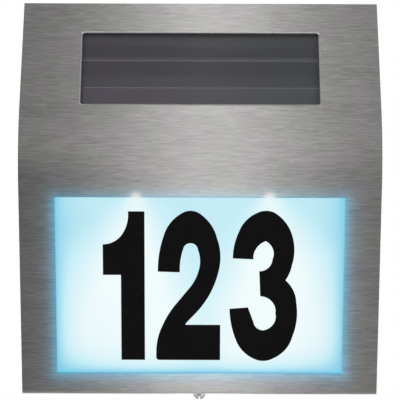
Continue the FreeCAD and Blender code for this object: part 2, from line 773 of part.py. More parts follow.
# ---------------------------------------------------------------- wall bracket
def wall_bracket():
    """A pressed T: crossbar with two upturned hooks, and a stem that ends in a forked tab."""
    front = -bracket_thickness
    hook_line = [(0, crossbar_bottom), (0, tongue_top), (lip_rear_y, tongue_top),
                 (lip_rear_y, tongue_top + lip_rise)]
    strip = bent_sheet(hook_line, [fold_radius, fold_radius], bracket_thickness, hook_width / 2)
    pieces = []
    for side in (-1, 1):
        hook = strip.copy()
        hook.translate(Vector(side * hook_offset_x, 0, 0))
        pieces.append(hook)
    bar_top = tongue_top - bracket_thickness - fold_radius
    pieces.append(box((-crossbar_half_length, crossbar_half_length), (front, 0), (crossbar_bottom, bar_top)))
    stem_line = [(-tab_reach, tab_bottom), (0, tab_bottom), (0, crossbar_bottom)]
    stem = bent_sheet(stem_line, [fold_radius], bracket_thickness, stem_width / 2)
    for side in (-1, 1):
        trim = box((side * tab_width / 2, side * stem_width), (1, -tab_reach - 1),
                   (tab_bottom - 1, tab_top + fold_radius + 1))
        stem = stem.cut(trim)
    pieces.append(stem)
    body = join(pieces)
    fork = lock_radius + fork_clearance
    cuts = [rod(fork, Vector(0, lock_y, tab_bottom - 1), Vector(0, lock_y, tab_top + 1)),
            box((-fork, fork), (lock_y, -tab_reach - 1), (tab_bottom - 1, tab_top + 1)),
            rod(lower_hole_radius, Vector(0, 1, lower_hole_height), Vector(0, front - 1, lower_hole_height))]
    flat = (wall_slot_length - wall_slot_width) / 2
    for side in (-1, 1):
        middle = side * wall_slot_spacing / 2
        cuts.append(box((middle - flat, middle + flat), (front - 1, 1),
                        (wall_slot_height - wall_slot_width / 2, wall_slot_height + wall_slot_width / 2)))
        for end in (-flat, flat):
            cuts.append(rod(wall_slot_width / 2, Vector(middle + end, 1, wall_slot_height),
                            Vector(middle + end, front - 1, wall_slot_height)))
    return body.cut(cuts)


# ---------------------------------------------------------------- lock screw
def lock_screw():
    """A slotted round-head screw that points up; its head hangs under the bottom flange."""
    up = Vector(0, 0, 1)
    shank = rod(lock_radius, Vector(0, lock_y, head_top - lock_head_rim),
                Vector(0, lock_y, lock_nut_top + lock_tip_reach))
    crown = lock_head_height - lock_head_rim
    ball = (lock_head_radius ** 2 + crown ** 2) / (2 * crown)
    dome = Part.makeSphere(ball, Vector(0, lock_y, head_bottom + ball))
    reach = lock_head_radius + 1
    dome = dome.common(box((-reach, reach), (lock_y - reach, lock_y + reach),
                           (head_bottom - 1, head_top - lock_head_rim)))
    rim = rod(lock_head_radius, Vector(0, lock_y, head_top - lock_head_rim), Vector(0, lock_y, head_top))
    screw = join([rim, dome, shank])
    slot = box((-lock_slot_width / 2, lock_slot_width / 2), (lock_y - reach, lock_y + reach),
               (head_bottom - 1, head_bottom + lock_slot_depth))
    return screw.cut(slot)


def lock_washer():
    disc = rod(lock_washer_radius, Vector(0, lock_y, washer_bottom), Vector(0, lock_y, washer_top))
    return disc.cut(rod(lock_radius + thread_clearance, Vector(0, lock_y, washer_bottom - 1),
                        Vector(0, lock_y, washer_top + 1)))


def lock_nut():
    half = lock_nut_flats / 2
    block = box((-half, half), (lock_y - half, lock_y + half), (lock_nut_bottom, lock_nut_top))
    return block.cut(rod(lock_radius + thread_clearance, Vector(0, lock_y, lock_nut_bottom - 1),
                         Vector(0, lock_y, lock_nut_top + 1)))


# ---------------------------------------------------------------- circuit board and switch
def board_post_places():
    xs = (board_left + board_post_inset, board_right - board_post_inset)
    zs = (board_bottom + board_post_inset, board_top - board_post_inset)
    return [(x, z) for x in xs for z in zs]


def main_board():
    plate = box((board_left, board_right), (board_rear_y, board_front_y), (board_bottom, board_top))
    holes = [rod(board_screw_radius + screw_clearance, Vector(x, 0, z), Vector(x, board_front_y - 1, z))
             for x, z in board_post_places()]
    return plate.cut(holes)


def board_screws():
    return Part.makeCompound([pan_screw(Vector(x, board_front_y, z), Vector(0, 1, 0), board_screw_radius,
                                        board_screw_length, board_screw_head_radius, board_screw_head_height)
                              for x, z in board_post_places()])


def controller_chip():
    """An eight-legged chip on the board's front face."""
    length, width, height, lift = 5.0, 4.0, 1.5, 0.15
    x, z = board_left + 14, board_bottom + 15
    face = board_front_y
    pieces = [box((x, x + length), (face - lift, face - lift - height), (z, z + width))]
    pitch, leg, reach = 1.27, 0.45, 1.1
    for index in range(4):
        left = x + length / 2 + (index - 1.5) * pitch - leg / 2
        for start, end in ((z - reach, z + 0.3), (z + width - 0.3, z + width + reach)):
            pieces.append(box((left, left + leg), (face, face - lift - 0.2), (start, end)))
    return join(pieces)


def inductor():
    """A drum core standing on the board."""
    radius, height, waist, flange = 3.4, 5.0, 2.7, 1.1
    x, z = board_left + 9, board_bottom + 24
    face = board_front_y
    low = rod(radius, Vector(x, face, z), Vector(x, face - flange, z))
    core = rod(waist, Vector(x, face - flange, z), Vector(x, face - height + flange, z))
    high = rod(radius, Vector(x, face - height + flange, z), Vector(x, face - height, z))
    return join([low, core, high])


def capacitor():
    """An electrolytic can standing on the board."""
    radius, height, groove = 2.5, 7.0, 0.25
    x, z = board_left + 9, board_bottom + 10
    face = board_front_y
    can = rod(radius, Vector(x, face, z), Vector(x, face - height, z))
    ring = rod(radius + 1, Vector(x, face - 1.0, z), Vector(x, face - 1.5, z))
    ring = ring.cut(rod(radius - groove, Vector(x, face - 0.9, z), Vector(x, face - 1.6, z)))
    return can.cut(ring)


def chip_resistors():
    length, width, height, pitch = 2.0, 1.25, 0.55, 3.0
    face = board_front_y
    x = board_left + 23
    lows = [board_bottom + 9 + index * pitch for index in range(5)]
    return Part.makeCompound([box((x, x + length), (face, face - height), (low, low + width))
                              for low in lows])


def switch_body():
    """The slide switch's case on the board's rear face, with a slot for its knob."""
    half = switch_length / 2
    middle = switch_x + knob_travel / 2
    case = box((middle - half, middle + half), (board_rear_y, board_rear_y + switch_depth),
               (switch_z - switch_height / 2, switch_z + switch_height / 2))
    slot_half = (knob_length + knob_travel) / 2 + knob_clearance
    slot = box((middle - slot_half, middle + slot_half), (board_rear_y + 1.2, 0),
               (switch_z - knob_height / 2 - knob_clearance, switch_z + knob_height / 2 + knob_clearance))
    return case.cut(slot)


def switch_slider():
    """The knob stands in the case, passes the rear cover and can be pushed with a nail."""
    half = knob_length / 2
    knob = box((switch_x - half, switch_x + half), (board_rear_y + 1.2 + knob_clearance,
                                                  cover_rear_y + knob_proud),
               (switch_z - knob_height / 2, switch_z + knob_height / 2))
    top_edges = [edge for edge in knob.Edges
                 if abs(edge.BoundBox.Center.y - cover_rear_y - knob_proud) < 1e-6]
    return knob.makeFillet(0.25, top_edges)


# ---------------------------------------------------------------- lights
led_board_front = slope_y(plate_rear + ledge_wall, divider_height) + led_board_gap
led_board_y = led_board_front + led_board_width / 2
led_z = divider_height - led_board_thickness


def led_board():
    half = led_board_length / 2
    return box((-half, half), (led_board_front, led_board_front + led_board_width), (led_z, divider_height))


def leds():
    lamps = []
    for side in (-1, 1):
        x = led_offset + side * led_spacing / 2
        y = led_board_front + led_side / 2 + 0.4
        case = box((x - led_side / 2, x + led_side / 2), (y - led_side / 2, y + led_side / 2),
                   (led_z - led_thickness, led_z))
        base = Vector(x, y, led_z - led_thickness)
        ball = (led_dome_radius ** 2 + led_dome_height ** 2) / (2 * led_dome_height)
        dome = Part.makeSphere(ball, base.add(Vector(0, 0, ball - led_dome_height)))
        keep = box((x - led_side / 2, x + led_side / 2), (y - led_side / 2, y + led_side / 2),
                   (base.z - led_dome_height - 1, base.z))
        lamps.append(join([case, dome.common(keep)]))
    return Part.makeCompound(lamps)


def reflector():
    """A white film from behind the lamps, down along the rear cover."""
    bottom = housing_bottom + housing_wall + reflector_bottom_gap
    front = led_board_front + led_board_width + reflector_top_gap[0]
    rear = cover_front_y - reflector_thickness - reflector_cover_gap
    line = [(front, divider_height - reflector_top_gap[1]),
            (cover_front_y - reflector_shoulder[0], divider_height - reflector_shoulder[1]),
            (rear, reflector_knee), (rear, bottom)]
    half = number_window_width / 2 + light_margin - reflector_side_gap
    return bent_sheet(line, reflector_bends, reflector_thickness, half)


# ---------------------------------------------------------------- battery compartment
def battery_tray():
    """A box round the cell, open to the back, with a tab slot over each contact."""
    inner = tray_inner_half
    front = battery_y - inner
    outer_box = box((tray_left, tray_right), (cover_front_y, front - tray_wall),
                    (battery_height - inner - tray_wall, battery_height + inner + tray_wall))
    room = box((tray_left + tray_wall, tray_right - tray_wall), (cover_front_y, front),
               (battery_height - inner, battery_height + inner))
    half = tab_width_contact / 2 + 0.2
    slots = []
    for start, end in contact_slots():
        slots.append(box((start - 0.1, end + 0.1), (battery_y - half, battery_y + half),
                         (battery_height + inner - 0.1, battery_height + inner + tray_wall + 1)))
    return outer_box.cut([room] + slots)


def contact_slots():
    """Limits along X of the two contact plates, against the tray's end walls."""
    left = tray_left + tray_wall
    right = tray_right - tray_wall
    return [(left, left + contact_thickness), (right - contact_thickness, right)]


def contact_plate(limits):
    half = contact_width / 2
    top = battery_height + tray_inner_half
    plate = box(limits, (battery_y - half, battery_y + half), (battery_height - half, battery_height + half))
    tab = box(limits, (battery_y - tab_width_contact / 2, battery_y + tab_width_contact / 2),
              (battery_height + half - 1, top + tray_wall + contact_tab_rise))
    return plate, tab


def negative_contact():
    """A plate with a bowed spring leaf that presses on the cell's flat end."""
    limits = contact_slots()[0]
    plate, tab = contact_plate(limits)
    spring_gap = battery_left - battery_clearance - limits[1]
    low = battery_height - contact_width / 2
    arc_points = [Vector(limits[1], 0, low + 0.6), Vector(limits[1] + spring_gap, 0, battery_height),
                  Vector(limits[1], 0, battery_height + contact_width / 2 - 0.6)]
    outer = Part.Arc(*arc_points).toShape()
    inner_points = [Vector(point.x - contact_thickness, 0, point.z) for point in arc_points]
    inner = Part.Arc(*inner_points).toShape()
    ends = [Part.LineSegment(inner_points[k], arc_points[k]).toShape() for k in (0, 2)]
    leaf = Part.Face(Part.Wire(Part.__sortEdges__([outer, inner] + ends)))
    leaf.translate(Vector(0, battery_y - contact_width / 3, 0))
    leaf = leaf.extrude(Vector(0, 2 * contact_width / 3, 0))
    return join([plate, tab, leaf])


def positive_contact():
    """A plate with a pressed button for the cell's nub."""
    limits = contact_slots()[1]
    plate, tab = contact_plate(limits)
    tip = battery_left + battery_length + battery_clearance
    button = Part.makeCone(2.6, 1.6, limits[0] - tip, Vector(limits[0], battery_y, battery_height),
                           Vector(-1, 0, 0))
    return join([plate, tab, button])


def battery():
    """An AA cell lying on its side, nub to the right."""
    body_end = battery_left + battery_length - battery_nub_length
    can = rod(battery_radius, Vector(battery_left, battery_y, battery_height),
              Vector(body_end, battery_y, battery_height))
    can = can.makeFillet(0.5, [edge for edge in can.Edges if edge.Curve.TypeId == "Part::GeomCircle"])
    nub = rod(battery_nub_radius, Vector(body_end - 1, battery_y, battery_height),
              Vector(body_end + battery_nub_length, battery_y, battery_height))
    return join([can, nub])


def battery_door():
    door_y = (cover_rear_y, cover_rear_y - door_thickness)
    plate = box((door_left, door_right), door_y, (door_bottom, door_top))
    corners = [edge for edge in plate.Edges
               if abs(edge.BoundBox.YLength - door_thickness) < 1e-6]
    plate = plate.makeFillet(0.8, corners)
    cuts = [rod(door_screw_radius + screw_clearance, Vector(x, 0, z), Vector(x, cover_front_y, z))
            for x, z in door_screw_places()]
    return plate.cut(cuts)


def door_seal():
    """A foam ring in the door's recess, round the compartment's opening and its screws."""
    seal_y = (cover_rear_y - door_thickness, cover_rear_y - door_thickness - door_seal_thickness)
    outer = box((door_left, door_right), seal_y, (door_bottom, door_top))
    opening = box((tray_left + tray_wall, tray_right - tray_wall), seal_y,
                  (battery_height - tray_inner_half, battery_height + tray_inner_half))
    holes = [rod(door_screw_radius + screw_clearance, Vector(x, 0, z), Vector(x, cover_front_y, z))
             for x, z in door_screw_places()]
    return outer.cut([opening] + holes)


def door_screws():
    return Part.makeCompound([pan_screw(Vector(x, cover_rear_y, z), Vector(0, -1, 0), door_screw_radius,
                                        door_screw_length, door_screw_head_radius, door_screw_head_height)
                              for x, z in door_screw_places()])


# ---------------------------------------------------------------- wires inside
def solar_leads():
    """From the panel's back, square to it, and across to the board's front face."""
    start = upper_face.multVec(Vector(solar_wire_x, solar_wire_rise, -panel_rear))
    inwards = upper_face.Rotation.multVec(Vector(0, 0, -1))
    turn = start.add(inwards.multiply(solar_wire_run))
    return wire_pair("solar_leads", [start, turn, Vector(solar_wire_x, board_front_y, turn.z)])


def led_leads():
    """From the board's front face forward, then down through the divider to the lamp board."""
    high = board_bottom + led_wire_rise
    forward = board_front_y - led_wire_forward
    points = [Vector(led_wire_x, board_front_y, high), Vector(led_wire_x, forward, high),
              Vector(led_wire_x, led_board_y, high - led_wire_drop),
              Vector(led_wire_x, led_board_y, divider_height)]
    return wire_pair("led_leads", points)


def battery_lead(contact_x, bends, board_rise, bow):
    """One wire from a contact's tab, over its bends, to its joint on the board's front face."""
    tab_z = battery_height + tray_inner_half + tray_wall + contact_tab_rise - lead_tab_drop
    end = Vector(board_right - lead_board_inset, board_front_y, board_bottom + board_rise)
    route = [Vector(contact_x, battery_y, tab_z)]
    route += [Vector(x, battery_y - forward, tab_z + up) for x, forward, up in bends]
    route.append(end.add(Vector(lead_board_reach, -lead_board_run - bow, -lead_board_dip)))
    route += [end.add(Vector(0, -lead_board_run, 0)), end]
    return wire_tube("battery lead", route)


def battery_leads():
    """From the contacts' tabs along the compartment's top to the board's front face."""
    near_slot, far_slot = contact_slots()
    far = battery_lead(far_slot[0], far_lead_bends, far_lead_rise, far_lead_bow)
    near = battery_lead(near_slot[0], near_lead_bends, near_lead_rise, near_lead_bow)
    return Part.makeCompound([far, near])


# ---------------------------------------------------------------- all pieces
pieces = {
    "wall_bracket": wall_bracket(),
    "front_cover": front_cover(),
    "weld_studs": weld_studs(),
    "stud_nuts": stud_nuts(),
    "number_gasket": number_gasket(),
    "solar_gasket": solar_gasket(),
    "number_plate": number_plate(),
    "digit_1": digit(digit_one_strokes, digit_one_left),
    "digit_2": digit(digit_two_strokes, digit_two_left),
    "digit_3": digit(digit_three_strokes, digit_three_left),
    "solar_glass": solar_glass(),
    "solar_cells": solar_cells(),
    "solar_backing": solar_backing(),
    "housing": housing(),
    "rear_gasket": rear_gasket(),
    "rear_cover": rear_cover(),
    "rear_screws": rear_screws(),
    "reflector": reflector(),
    "led_board": led_board(),
    "leds": leds(),
    "main_board": main_board(),
    "board_screws": board_screws(),
    "controller_chip": controller_chip(),
    "inductor": inductor(),
    "capacitor": capacitor(),
    "chip_resistors": chip_resistors(),
    "switch_body": switch_body(),
    "switch_slider": switch_slider(),
    "battery_tray": battery_tray(),
    "battery": battery(),
    "negative_contact": negative_contact(),
    "positive_contact": positive_contact(),
    "battery_door": battery_door(),
    "door_seal": door_seal(),
    "door_screws": door_screws(),
    "lock_screw": lock_screw(),
    "lock_washer": lock_washer(),
    "lock_nut": lock_nut(),
    "solar_leads": solar_leads(),
    "led_leads": led_leads(),
    "battery_leads": battery_leads(),
}

os.makedirs("parts", exist_ok=True)
for name, shape in pieces.items():
    shape.exportStep(f"parts/{name}.step")
    size = shape.BoundBox
    print(f"{name}: {len(shape.Solids)} solids, valid {shape.isValid()}, volume {shape.Volume:.1f}, "
          f"x {size.XMin:.1f} {size.XMax:.1f}, y {size.YMin:.1f} {size.YMax:.1f}, "
          f"z {size.ZMin:.1f} {size.ZMax:.1f}")
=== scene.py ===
# %% [markdown]
# # An illuminated house number sign
#
# A bent sheet of brushed stainless steel is made to hang on a house wall. A small solar panel sits in its
# upper window, and a lit plate of opal acrylic with three black digits fills the lower one. The shapes
# come from the CAD model, which is loaded first and stays as it is. This script gives every shape its
# surface, adds the small formed details that CAD leaves plain, and sets up the camera and the light.

# %% Frame
import math

import bpy
import numpy as np
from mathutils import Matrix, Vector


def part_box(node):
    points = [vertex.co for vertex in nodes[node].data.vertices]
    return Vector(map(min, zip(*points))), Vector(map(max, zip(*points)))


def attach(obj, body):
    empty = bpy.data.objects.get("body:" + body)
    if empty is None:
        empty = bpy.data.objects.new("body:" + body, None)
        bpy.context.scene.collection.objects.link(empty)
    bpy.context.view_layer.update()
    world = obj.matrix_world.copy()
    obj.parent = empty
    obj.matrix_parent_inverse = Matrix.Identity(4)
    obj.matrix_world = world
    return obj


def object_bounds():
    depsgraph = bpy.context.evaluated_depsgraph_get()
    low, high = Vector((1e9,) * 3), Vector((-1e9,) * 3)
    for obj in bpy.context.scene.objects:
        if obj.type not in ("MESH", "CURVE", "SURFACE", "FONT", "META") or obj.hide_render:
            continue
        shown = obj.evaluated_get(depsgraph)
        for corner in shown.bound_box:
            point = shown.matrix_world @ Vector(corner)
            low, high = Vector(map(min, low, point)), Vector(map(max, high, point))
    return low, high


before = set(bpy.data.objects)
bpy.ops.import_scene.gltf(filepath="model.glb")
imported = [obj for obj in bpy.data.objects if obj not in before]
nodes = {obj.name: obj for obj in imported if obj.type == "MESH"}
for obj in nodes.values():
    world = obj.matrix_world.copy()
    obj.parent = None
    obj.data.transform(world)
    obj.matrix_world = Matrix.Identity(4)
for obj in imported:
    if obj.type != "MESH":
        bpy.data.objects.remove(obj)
cad_low, cad_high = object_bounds()
print("CAD box from", [round(c, 4) for c in cad_low], "to", [round(c, 4) for c in cad_high])

# %% [markdown]
# ## Places on the sheet
#
# Most of what follows is painted in the object's own coordinates, so it needs a few places from the
# design: the line where the two faces would meet, the lean of each face, the number window and the places
# of the two lamps. Lengths down the lower face are measured on its slope, and a length times the cosine
# of the lean is the height it covers.

# %% Places
CORNER_Y = -0.05459
CORNER_Z = 0.0266
UPPER_LEAN = math.radians(34.2)
LOWER_LEAN = math.radians(19.0)
WINDOW_HALF = 0.072
WINDOW_START = 0.0269
WINDOW_LENGTH = 0.0940
WINDOW_TOP = CORNER_Z - WINDOW_START * math.cos(LOWER_LEAN)
WINDOW_BOTTOM = WINDOW_TOP - WINDOW_LENGTH * math.cos(LOWER_LEAN)
LAMPS_X = (-0.03175, 0.03455)
print("number window from", round(WINDOW_BOTTOM, 4), "to", round(WINDOW_TOP, 4))

# %% [markdown]
# ## Tools for painting surfaces
#
# A finish is a small graph of nodes: coordinates, some noise, a colour that the noise shifts, a roughness
# that it shifts too, and a bump for the relief. These short functions write such graphs. `stretch`
# squeezes or draws out the noise along an axis, which is how brushing, moulding grain and cast texture
# differ.


# %% Graph tools
class Finish:
    """A material that starts with one principled shader and the object's own coordinates."""

    def __init__(self, name):
        self.material = bpy.data.materials.new(name)
        self.material.use_nodes = True
        self.tree = self.material.node_tree
        self.shader = self.tree.nodes["Principled BSDF"]
        self.place = self.tree.nodes.new("ShaderNodeTexCoord").outputs["Object"]

    def add(self, kind, **settings):
        node = self.tree.nodes.new(kind)
        for key, value in settings.items():
            setattr(node, key, value)
        return node

    def feed(self, socket, value):
        """Joins a socket to an output, or sets it to a plain value."""
        if isinstance(value, bpy.types.NodeSocket):
            self.tree.links.new(value, socket)
        else:
            socket.default_value = value

    def math(self, operation, *values, clamp=False):
        node = self.add("ShaderNodeMath", operation=operation, use_clamp=clamp)
        for socket, value in zip(node.inputs, values):
            self.feed(socket, value)
        return node.outputs[0]

    def parts(self):
        """The three object coordinates, in metres."""
        node = self.add("ShaderNodeSeparateXYZ")
        self.feed(node.inputs[0], self.place)
        return node.outputs[0], node.outputs[1], node.outputs[2]

    def noise(self, scale, stretch=(1, 1, 1), detail=3.0, roughness=0.5):
        """Noise with so many waves a metre, from 0 to 1."""
        spread = self.add("ShaderNodeMapping")
        self.feed(spread.inputs["Vector"], self.place)
        spread.inputs["Scale"].default_value = stretch
        node = self.add("ShaderNodeTexNoise")
        self.feed(node.inputs["Vector"], spread.outputs[0])
        node.inputs["Scale"].default_value = scale
        node.inputs["Detail"].default_value = detail
        node.inputs["Roughness"].default_value = roughness
        return node.outputs["Fac"]

    def between(self, value, low, high, to_low=0.0, to_high=1.0, smooth=False):
        """Maps a value from one range to another and holds it there."""
        node = self.add("ShaderNodeMapRange", interpolation_type="SMOOTHSTEP" if smooth else "LINEAR")
        for socket, number in zip(node.inputs, (value, low, high, to_low, to_high)):
            self.feed(socket, number)
        return node.outputs[0]

    def mix(self, amount, first, second, blend="MIX"):
        """A colour between two others."""
        node = self.add("ShaderNodeMix", data_type="RGBA", blend_type=blend)
        self.feed(node.inputs[0], amount)
        self.feed(node.inputs[6], first)
        self.feed(node.inputs[7], second)
        return node.outputs[2]

    def bump(self, height, depth, strength=0.5):
        node = self.add("ShaderNodeBump")
        self.feed(node.inputs["Height"], height)
        node.inputs["Distance"].default_value = depth
        node.inputs["Strength"].default_value = strength
        self.tree.links.new(node.outputs[0], self.shader.inputs["Normal"])

    def set(self, **values):
        """Sets or feeds inputs of the shader; an underscore stands for a space."""
        for key, value in values.items():
            self.feed(self.shader.inputs[key.replace("_", " ")], value)
        return self


def rgb(red, green, blue):
    """A linear colour from the 0 to 255 values that a screen shows."""
    def linear(value):
        share = value / 255
        return share / 12.92 if share <= 0.04045 else ((share + 0.055) / 1.055) ** 2.4
    return (linear(red), linear(green), linear(blue), 1.0)


def dress(finish, *names):
    """Puts a finish on CAD nodes, in every material slot they have."""
    for name in names:
        mesh = nodes[name].data
        if not mesh.materials:
            mesh.materials.append(finish.material)
        for index in range(len(mesh.materials)):
            mesh.materials[index] = finish.material


print("tools ready")

# %% [markdown]
# ## Brushed stainless sheet
#
# The sheet is rolled stainless steel, rubbed with an abrasive belt that runs across its width. The belt
# leaves scratches a few hundredths of a millimetre apart and many centimetres long, so light spreads up
# and down from them but stays sharp from side to side. That is an anisotropic highlight, drawn out along
# the tangent that is given here: up the sheet, square to the scratches. The fine noise is drawn out along
# X and squeezed along Z. Its colour contrast is painted lower in a band near the middle, a painted wash of
# the highlight that falls there, and a slow tint stands for the slight film that the rolling leaves.
#
# The roughness stays above 0.274. Below that the noise filter takes the sheet for a mirror and smears the
# streaks.
#
# Round the lower window the plate's light grazes the steel. It is given as a faint blue glow that fades
# within a few millimetres and stops where the sheet turns back at the foot, and as a small white spot at
# the window's upper edge over each lamp. A hair-thin blue-grey line of painted shade darkens the steel
# just outside the cut edge above and below.

# %% Steel
LIGHT_BLUE = rgb(20, 203, 252)
LIGHT_WHITE = (0.9, 0.97, 1.0, 1)
# The colour of the painted shade line just outside the number window's cut edge.
EDGE_SHADE_BLUE = (0.45, 0.62, 0.68, 1)
HALO_REACH, HALO_POWER, HALO_LEVEL, HALO_LEVEL_ABOVE = 0.0035, 1.32, 0.37, 0.58
STAR_REACH, STAR_LEVEL = 0.0030, 0.25
STREAK_WAVES, HAIR_WAVES, PATCH_WAVES = (85, 85, 1300), (170, 170, 2600), (16, 16, 110)
GRAIN_LOW, GRAIN_HIGH = 0.36, 0.64
DULL, SHINY = 0.284, 0.276
CALM_X, CALM_REACH, CALM_SHARE = 0.004, 0.036, 0.4
EDGE_OUT, EDGE_WIDTH = 0.0002, 0.0005
FOOT_TURN_START, FOOT_TURN_END = -0.0127, -0.0116


def window_distance(f):
    """How far a point is outside the number window, in metres, as seen from the front."""
    x, _, z = f.parts()
    side = f.math("MAXIMUM", f.math("SUBTRACT", f.math("ABSOLUTE", x), WINDOW_HALF), 0.0)
    middle = (WINDOW_TOP + WINDOW_BOTTOM) / 2
    half = (WINDOW_TOP - WINDOW_BOTTOM) / 2
    from_middle = f.math("ABSOLUTE", f.math("SUBTRACT", z, middle))
    rise = f.math("MAXIMUM", f.math("SUBTRACT", from_middle, half), 0.0)
    return f.math("SQRT", f.math("ADD", f.math("MULTIPLY", side, side), f.math("MULTIPLY", rise, rise)))


def fading(f, distance, reach, power=1.0):
    """Falls from 1 to about a third at the reach: e to the minus of (distance over reach) to a power."""
    ratio = f.math("POWER", f.math("DIVIDE", distance, reach), power)
    return f.math("EXPONENT", f.math("MULTIPLY", ratio, -1.0))


def spot(f, x0, z0, reach):
    """A round spot that falls off like a bell from its centre."""
    x, _, z = f.parts()
    across = f.math("SUBTRACT", x, x0)
    along = f.math("SUBTRACT", z, z0)
    square = f.math("ADD", f.math("MULTIPLY", across, across), f.math("MULTIPLY", along, along))
    return f.math("EXPONENT", f.math("DIVIDE", square, -reach * reach))


def spot_line(f, value, centre, reach):
    """A bell over one coordinate."""
    ratio = f.math("DIVIDE", f.math("SUBTRACT", value, centre), reach)
    return f.math("EXPONENT", f.math("MULTIPLY", f.math("MULTIPLY", ratio, ratio), -1.0))


def brushed(name, light, dark):
    """Brushed sheet: scratches of two sizes, a slow tint, painted edge shade, their roughness, and the
    plate's light.
    """
    f = Finish(name)
    streaks = f.noise(1.0, STREAK_WAVES, 3.0, 0.6)
    hairs = f.noise(1.0, HAIR_WAVES, 3.0, 0.65)
    patches = f.noise(1.0, PATCH_WAVES, 2.0, 0.5)
    grain = f.math("ADD", f.math("MULTIPLY", streaks, 0.52), f.math("MULTIPLY", hairs, 0.36))
    grain = f.math("ADD", grain, f.math("MULTIPLY", patches, 0.12))
    x, y, z = f.parts()
    # Painted highlight wash: the streaks' colour contrast is lowered in a band where the highlight falls.
    calm_under_highlight = f.math("MULTIPLY", spot_line(f, x, CALM_X, CALM_REACH), CALM_SHARE)
    level = f.between(grain, GRAIN_LOW, GRAIN_HIGH)
    level = f.math("SUBTRACT", level, f.math("MULTIPLY", f.math("SUBTRACT", level, 0.5), calm_under_highlight))
    base = f.mix(level, dark, light)
    tint = f.between(f.noise(55.0, (1, 1, 1.3), 2.0), 0.35, 0.65)
    film_tint_and_edge_shade = f.mix(tint, (1.02, 0.985, 1.025, 1), (1.0, 1.01, 0.97, 1))
    inside = f.between(f.math("ABSOLUTE", x), WINDOW_HALF + 0.0004, WINDOW_HALF + 0.0001)
    # A hair-thin line of painted shade, tinted blue-grey, on the steel just above and below the number
    # window.
    top_shade_line = spot_line(f, z, WINDOW_TOP + EDGE_OUT, EDGE_WIDTH)
    foot_shade_line = spot_line(f, z, WINDOW_BOTTOM - EDGE_OUT, EDGE_WIDTH)
    edge_shade_lines = f.math("MULTIPLY", f.math("ADD", top_shade_line, foot_shade_line, clamp=True), inside)
    film_tint_and_edge_shade = f.mix(f.math("MULTIPLY", edge_shade_lines, 0.6), film_tint_and_edge_shade, EDGE_SHADE_BLUE)
    f.set(Base_Color=f.mix(1.0, base, film_tint_and_edge_shade, "MULTIPLY"), Metallic=1.0, Anisotropic=1.0)
    f.set(Roughness=f.between(grain, GRAIN_LOW, GRAIN_HIGH, DULL, SHINY))
    along = f.add("ShaderNodeVectorTransform", vector_type="VECTOR",
                  convert_from="OBJECT", convert_to="WORLD")
    along.inputs[0].default_value = (0, 0, 1)
    f.feed(f.shader.inputs["Tangent"], along.outputs[0])
    f.bump(grain, 0.00002, 0.10)
    halo = f.math("MULTIPLY", fading(f, window_distance(f), HALO_REACH, HALO_POWER), HALO_LEVEL)
    stars = f.math("ADD", *[spot(f, lamp_x, WINDOW_TOP + EDGE_OUT, STAR_REACH) for lamp_x in LAMPS_X])
    halo = f.math("MULTIPLY", halo, f.between(y, FOOT_TURN_START, FOOT_TURN_END, 1.0, 0.0))
    above = f.between(z, WINDOW_TOP - 0.0005, WINDOW_TOP + 0.0010, 1.0, HALO_LEVEL_ABOVE)
    halo = f.math("MULTIPLY", halo, above)
    f.set(Emission_Color=f.mix(f.between(stars, 0.0, 0.6), LIGHT_BLUE, LIGHT_WHITE))
    f.set(Emission_Strength=f.math("ADD", halo, f.math("MULTIPLY", stars, STAR_LEVEL)))
    return f


dress(brushed("brushed_steel", rgb(206, 205, 203), rgb(168, 167, 166)), "front_cover")
print("steel on the front sheet")

# %% [markdown]
# ## Lit opal acrylic
#
# Two lamps shine down from behind the window's upper edge into a white chamber. The plate scatters their
# light, so it glows white under each lamp in a cone that widens downwards, and turns to a pale blue where
# less light arrives: at the side edges, along the bottom, in the lower corners and between the two cones.
# The pattern is the larger of two bell curves across the plate. Their width grows with the drop below the
# lamp, faster outwards than towards the middle. The side edges and the foot then each take light away
# over their own reach, and the foot's reach is longer towards the corners. The plate is lit from behind
# on the real object, so here it gives the light itself.

# %% Opal plate
SPREAD_INWARD, SPREAD_OUTWARD = 0.42, 0.71
CONE_START, CONE_GROWN = 0.0055, 0.030
CONE_LEVEL_START, CONE_LEVEL = 0.74, 1.25
LEFT_REACH, RIGHT_REACH, FOOT_REACH, CORNER_REACH = 0.0047, 0.0051, 0.0040, 0.0075
PALE_MIDDLE, PALE_LOSS = 0.48, 0.10


def lamp_cone(f, x0):
    """A bell across the plate round a lamp, which widens and brightens with the drop below it."""
    x, _, z = f.parts()
    drop = f.math("MAXIMUM", f.math("SUBTRACT", WINDOW_TOP, z), 0.0)
    outward = f.math("MULTIPLY", f.math("SUBTRACT", x, x0), 1.0 if x0 > 0 else -1.0)
    spread = f.between(outward, -0.001, 0.001, SPREAD_INWARD, SPREAD_OUTWARD)
    width = f.math("ADD", CONE_START, f.math("MULTIPLY", drop, spread))
    bell = spot_line(f, outward, 0.0, width)
    return f.math("MULTIPLY", bell, f.between(drop, 0.0, CONE_GROWN, CONE_LEVEL_START, CONE_LEVEL))


def filling(f, distance, reach):
    """Rises from 0 at an edge towards 1 further in: one minus e to the minus distance over reach."""
    return f.math("SUBTRACT", 1.0, fading(f, f.math("MAXIMUM", distance, 0.0), reach))


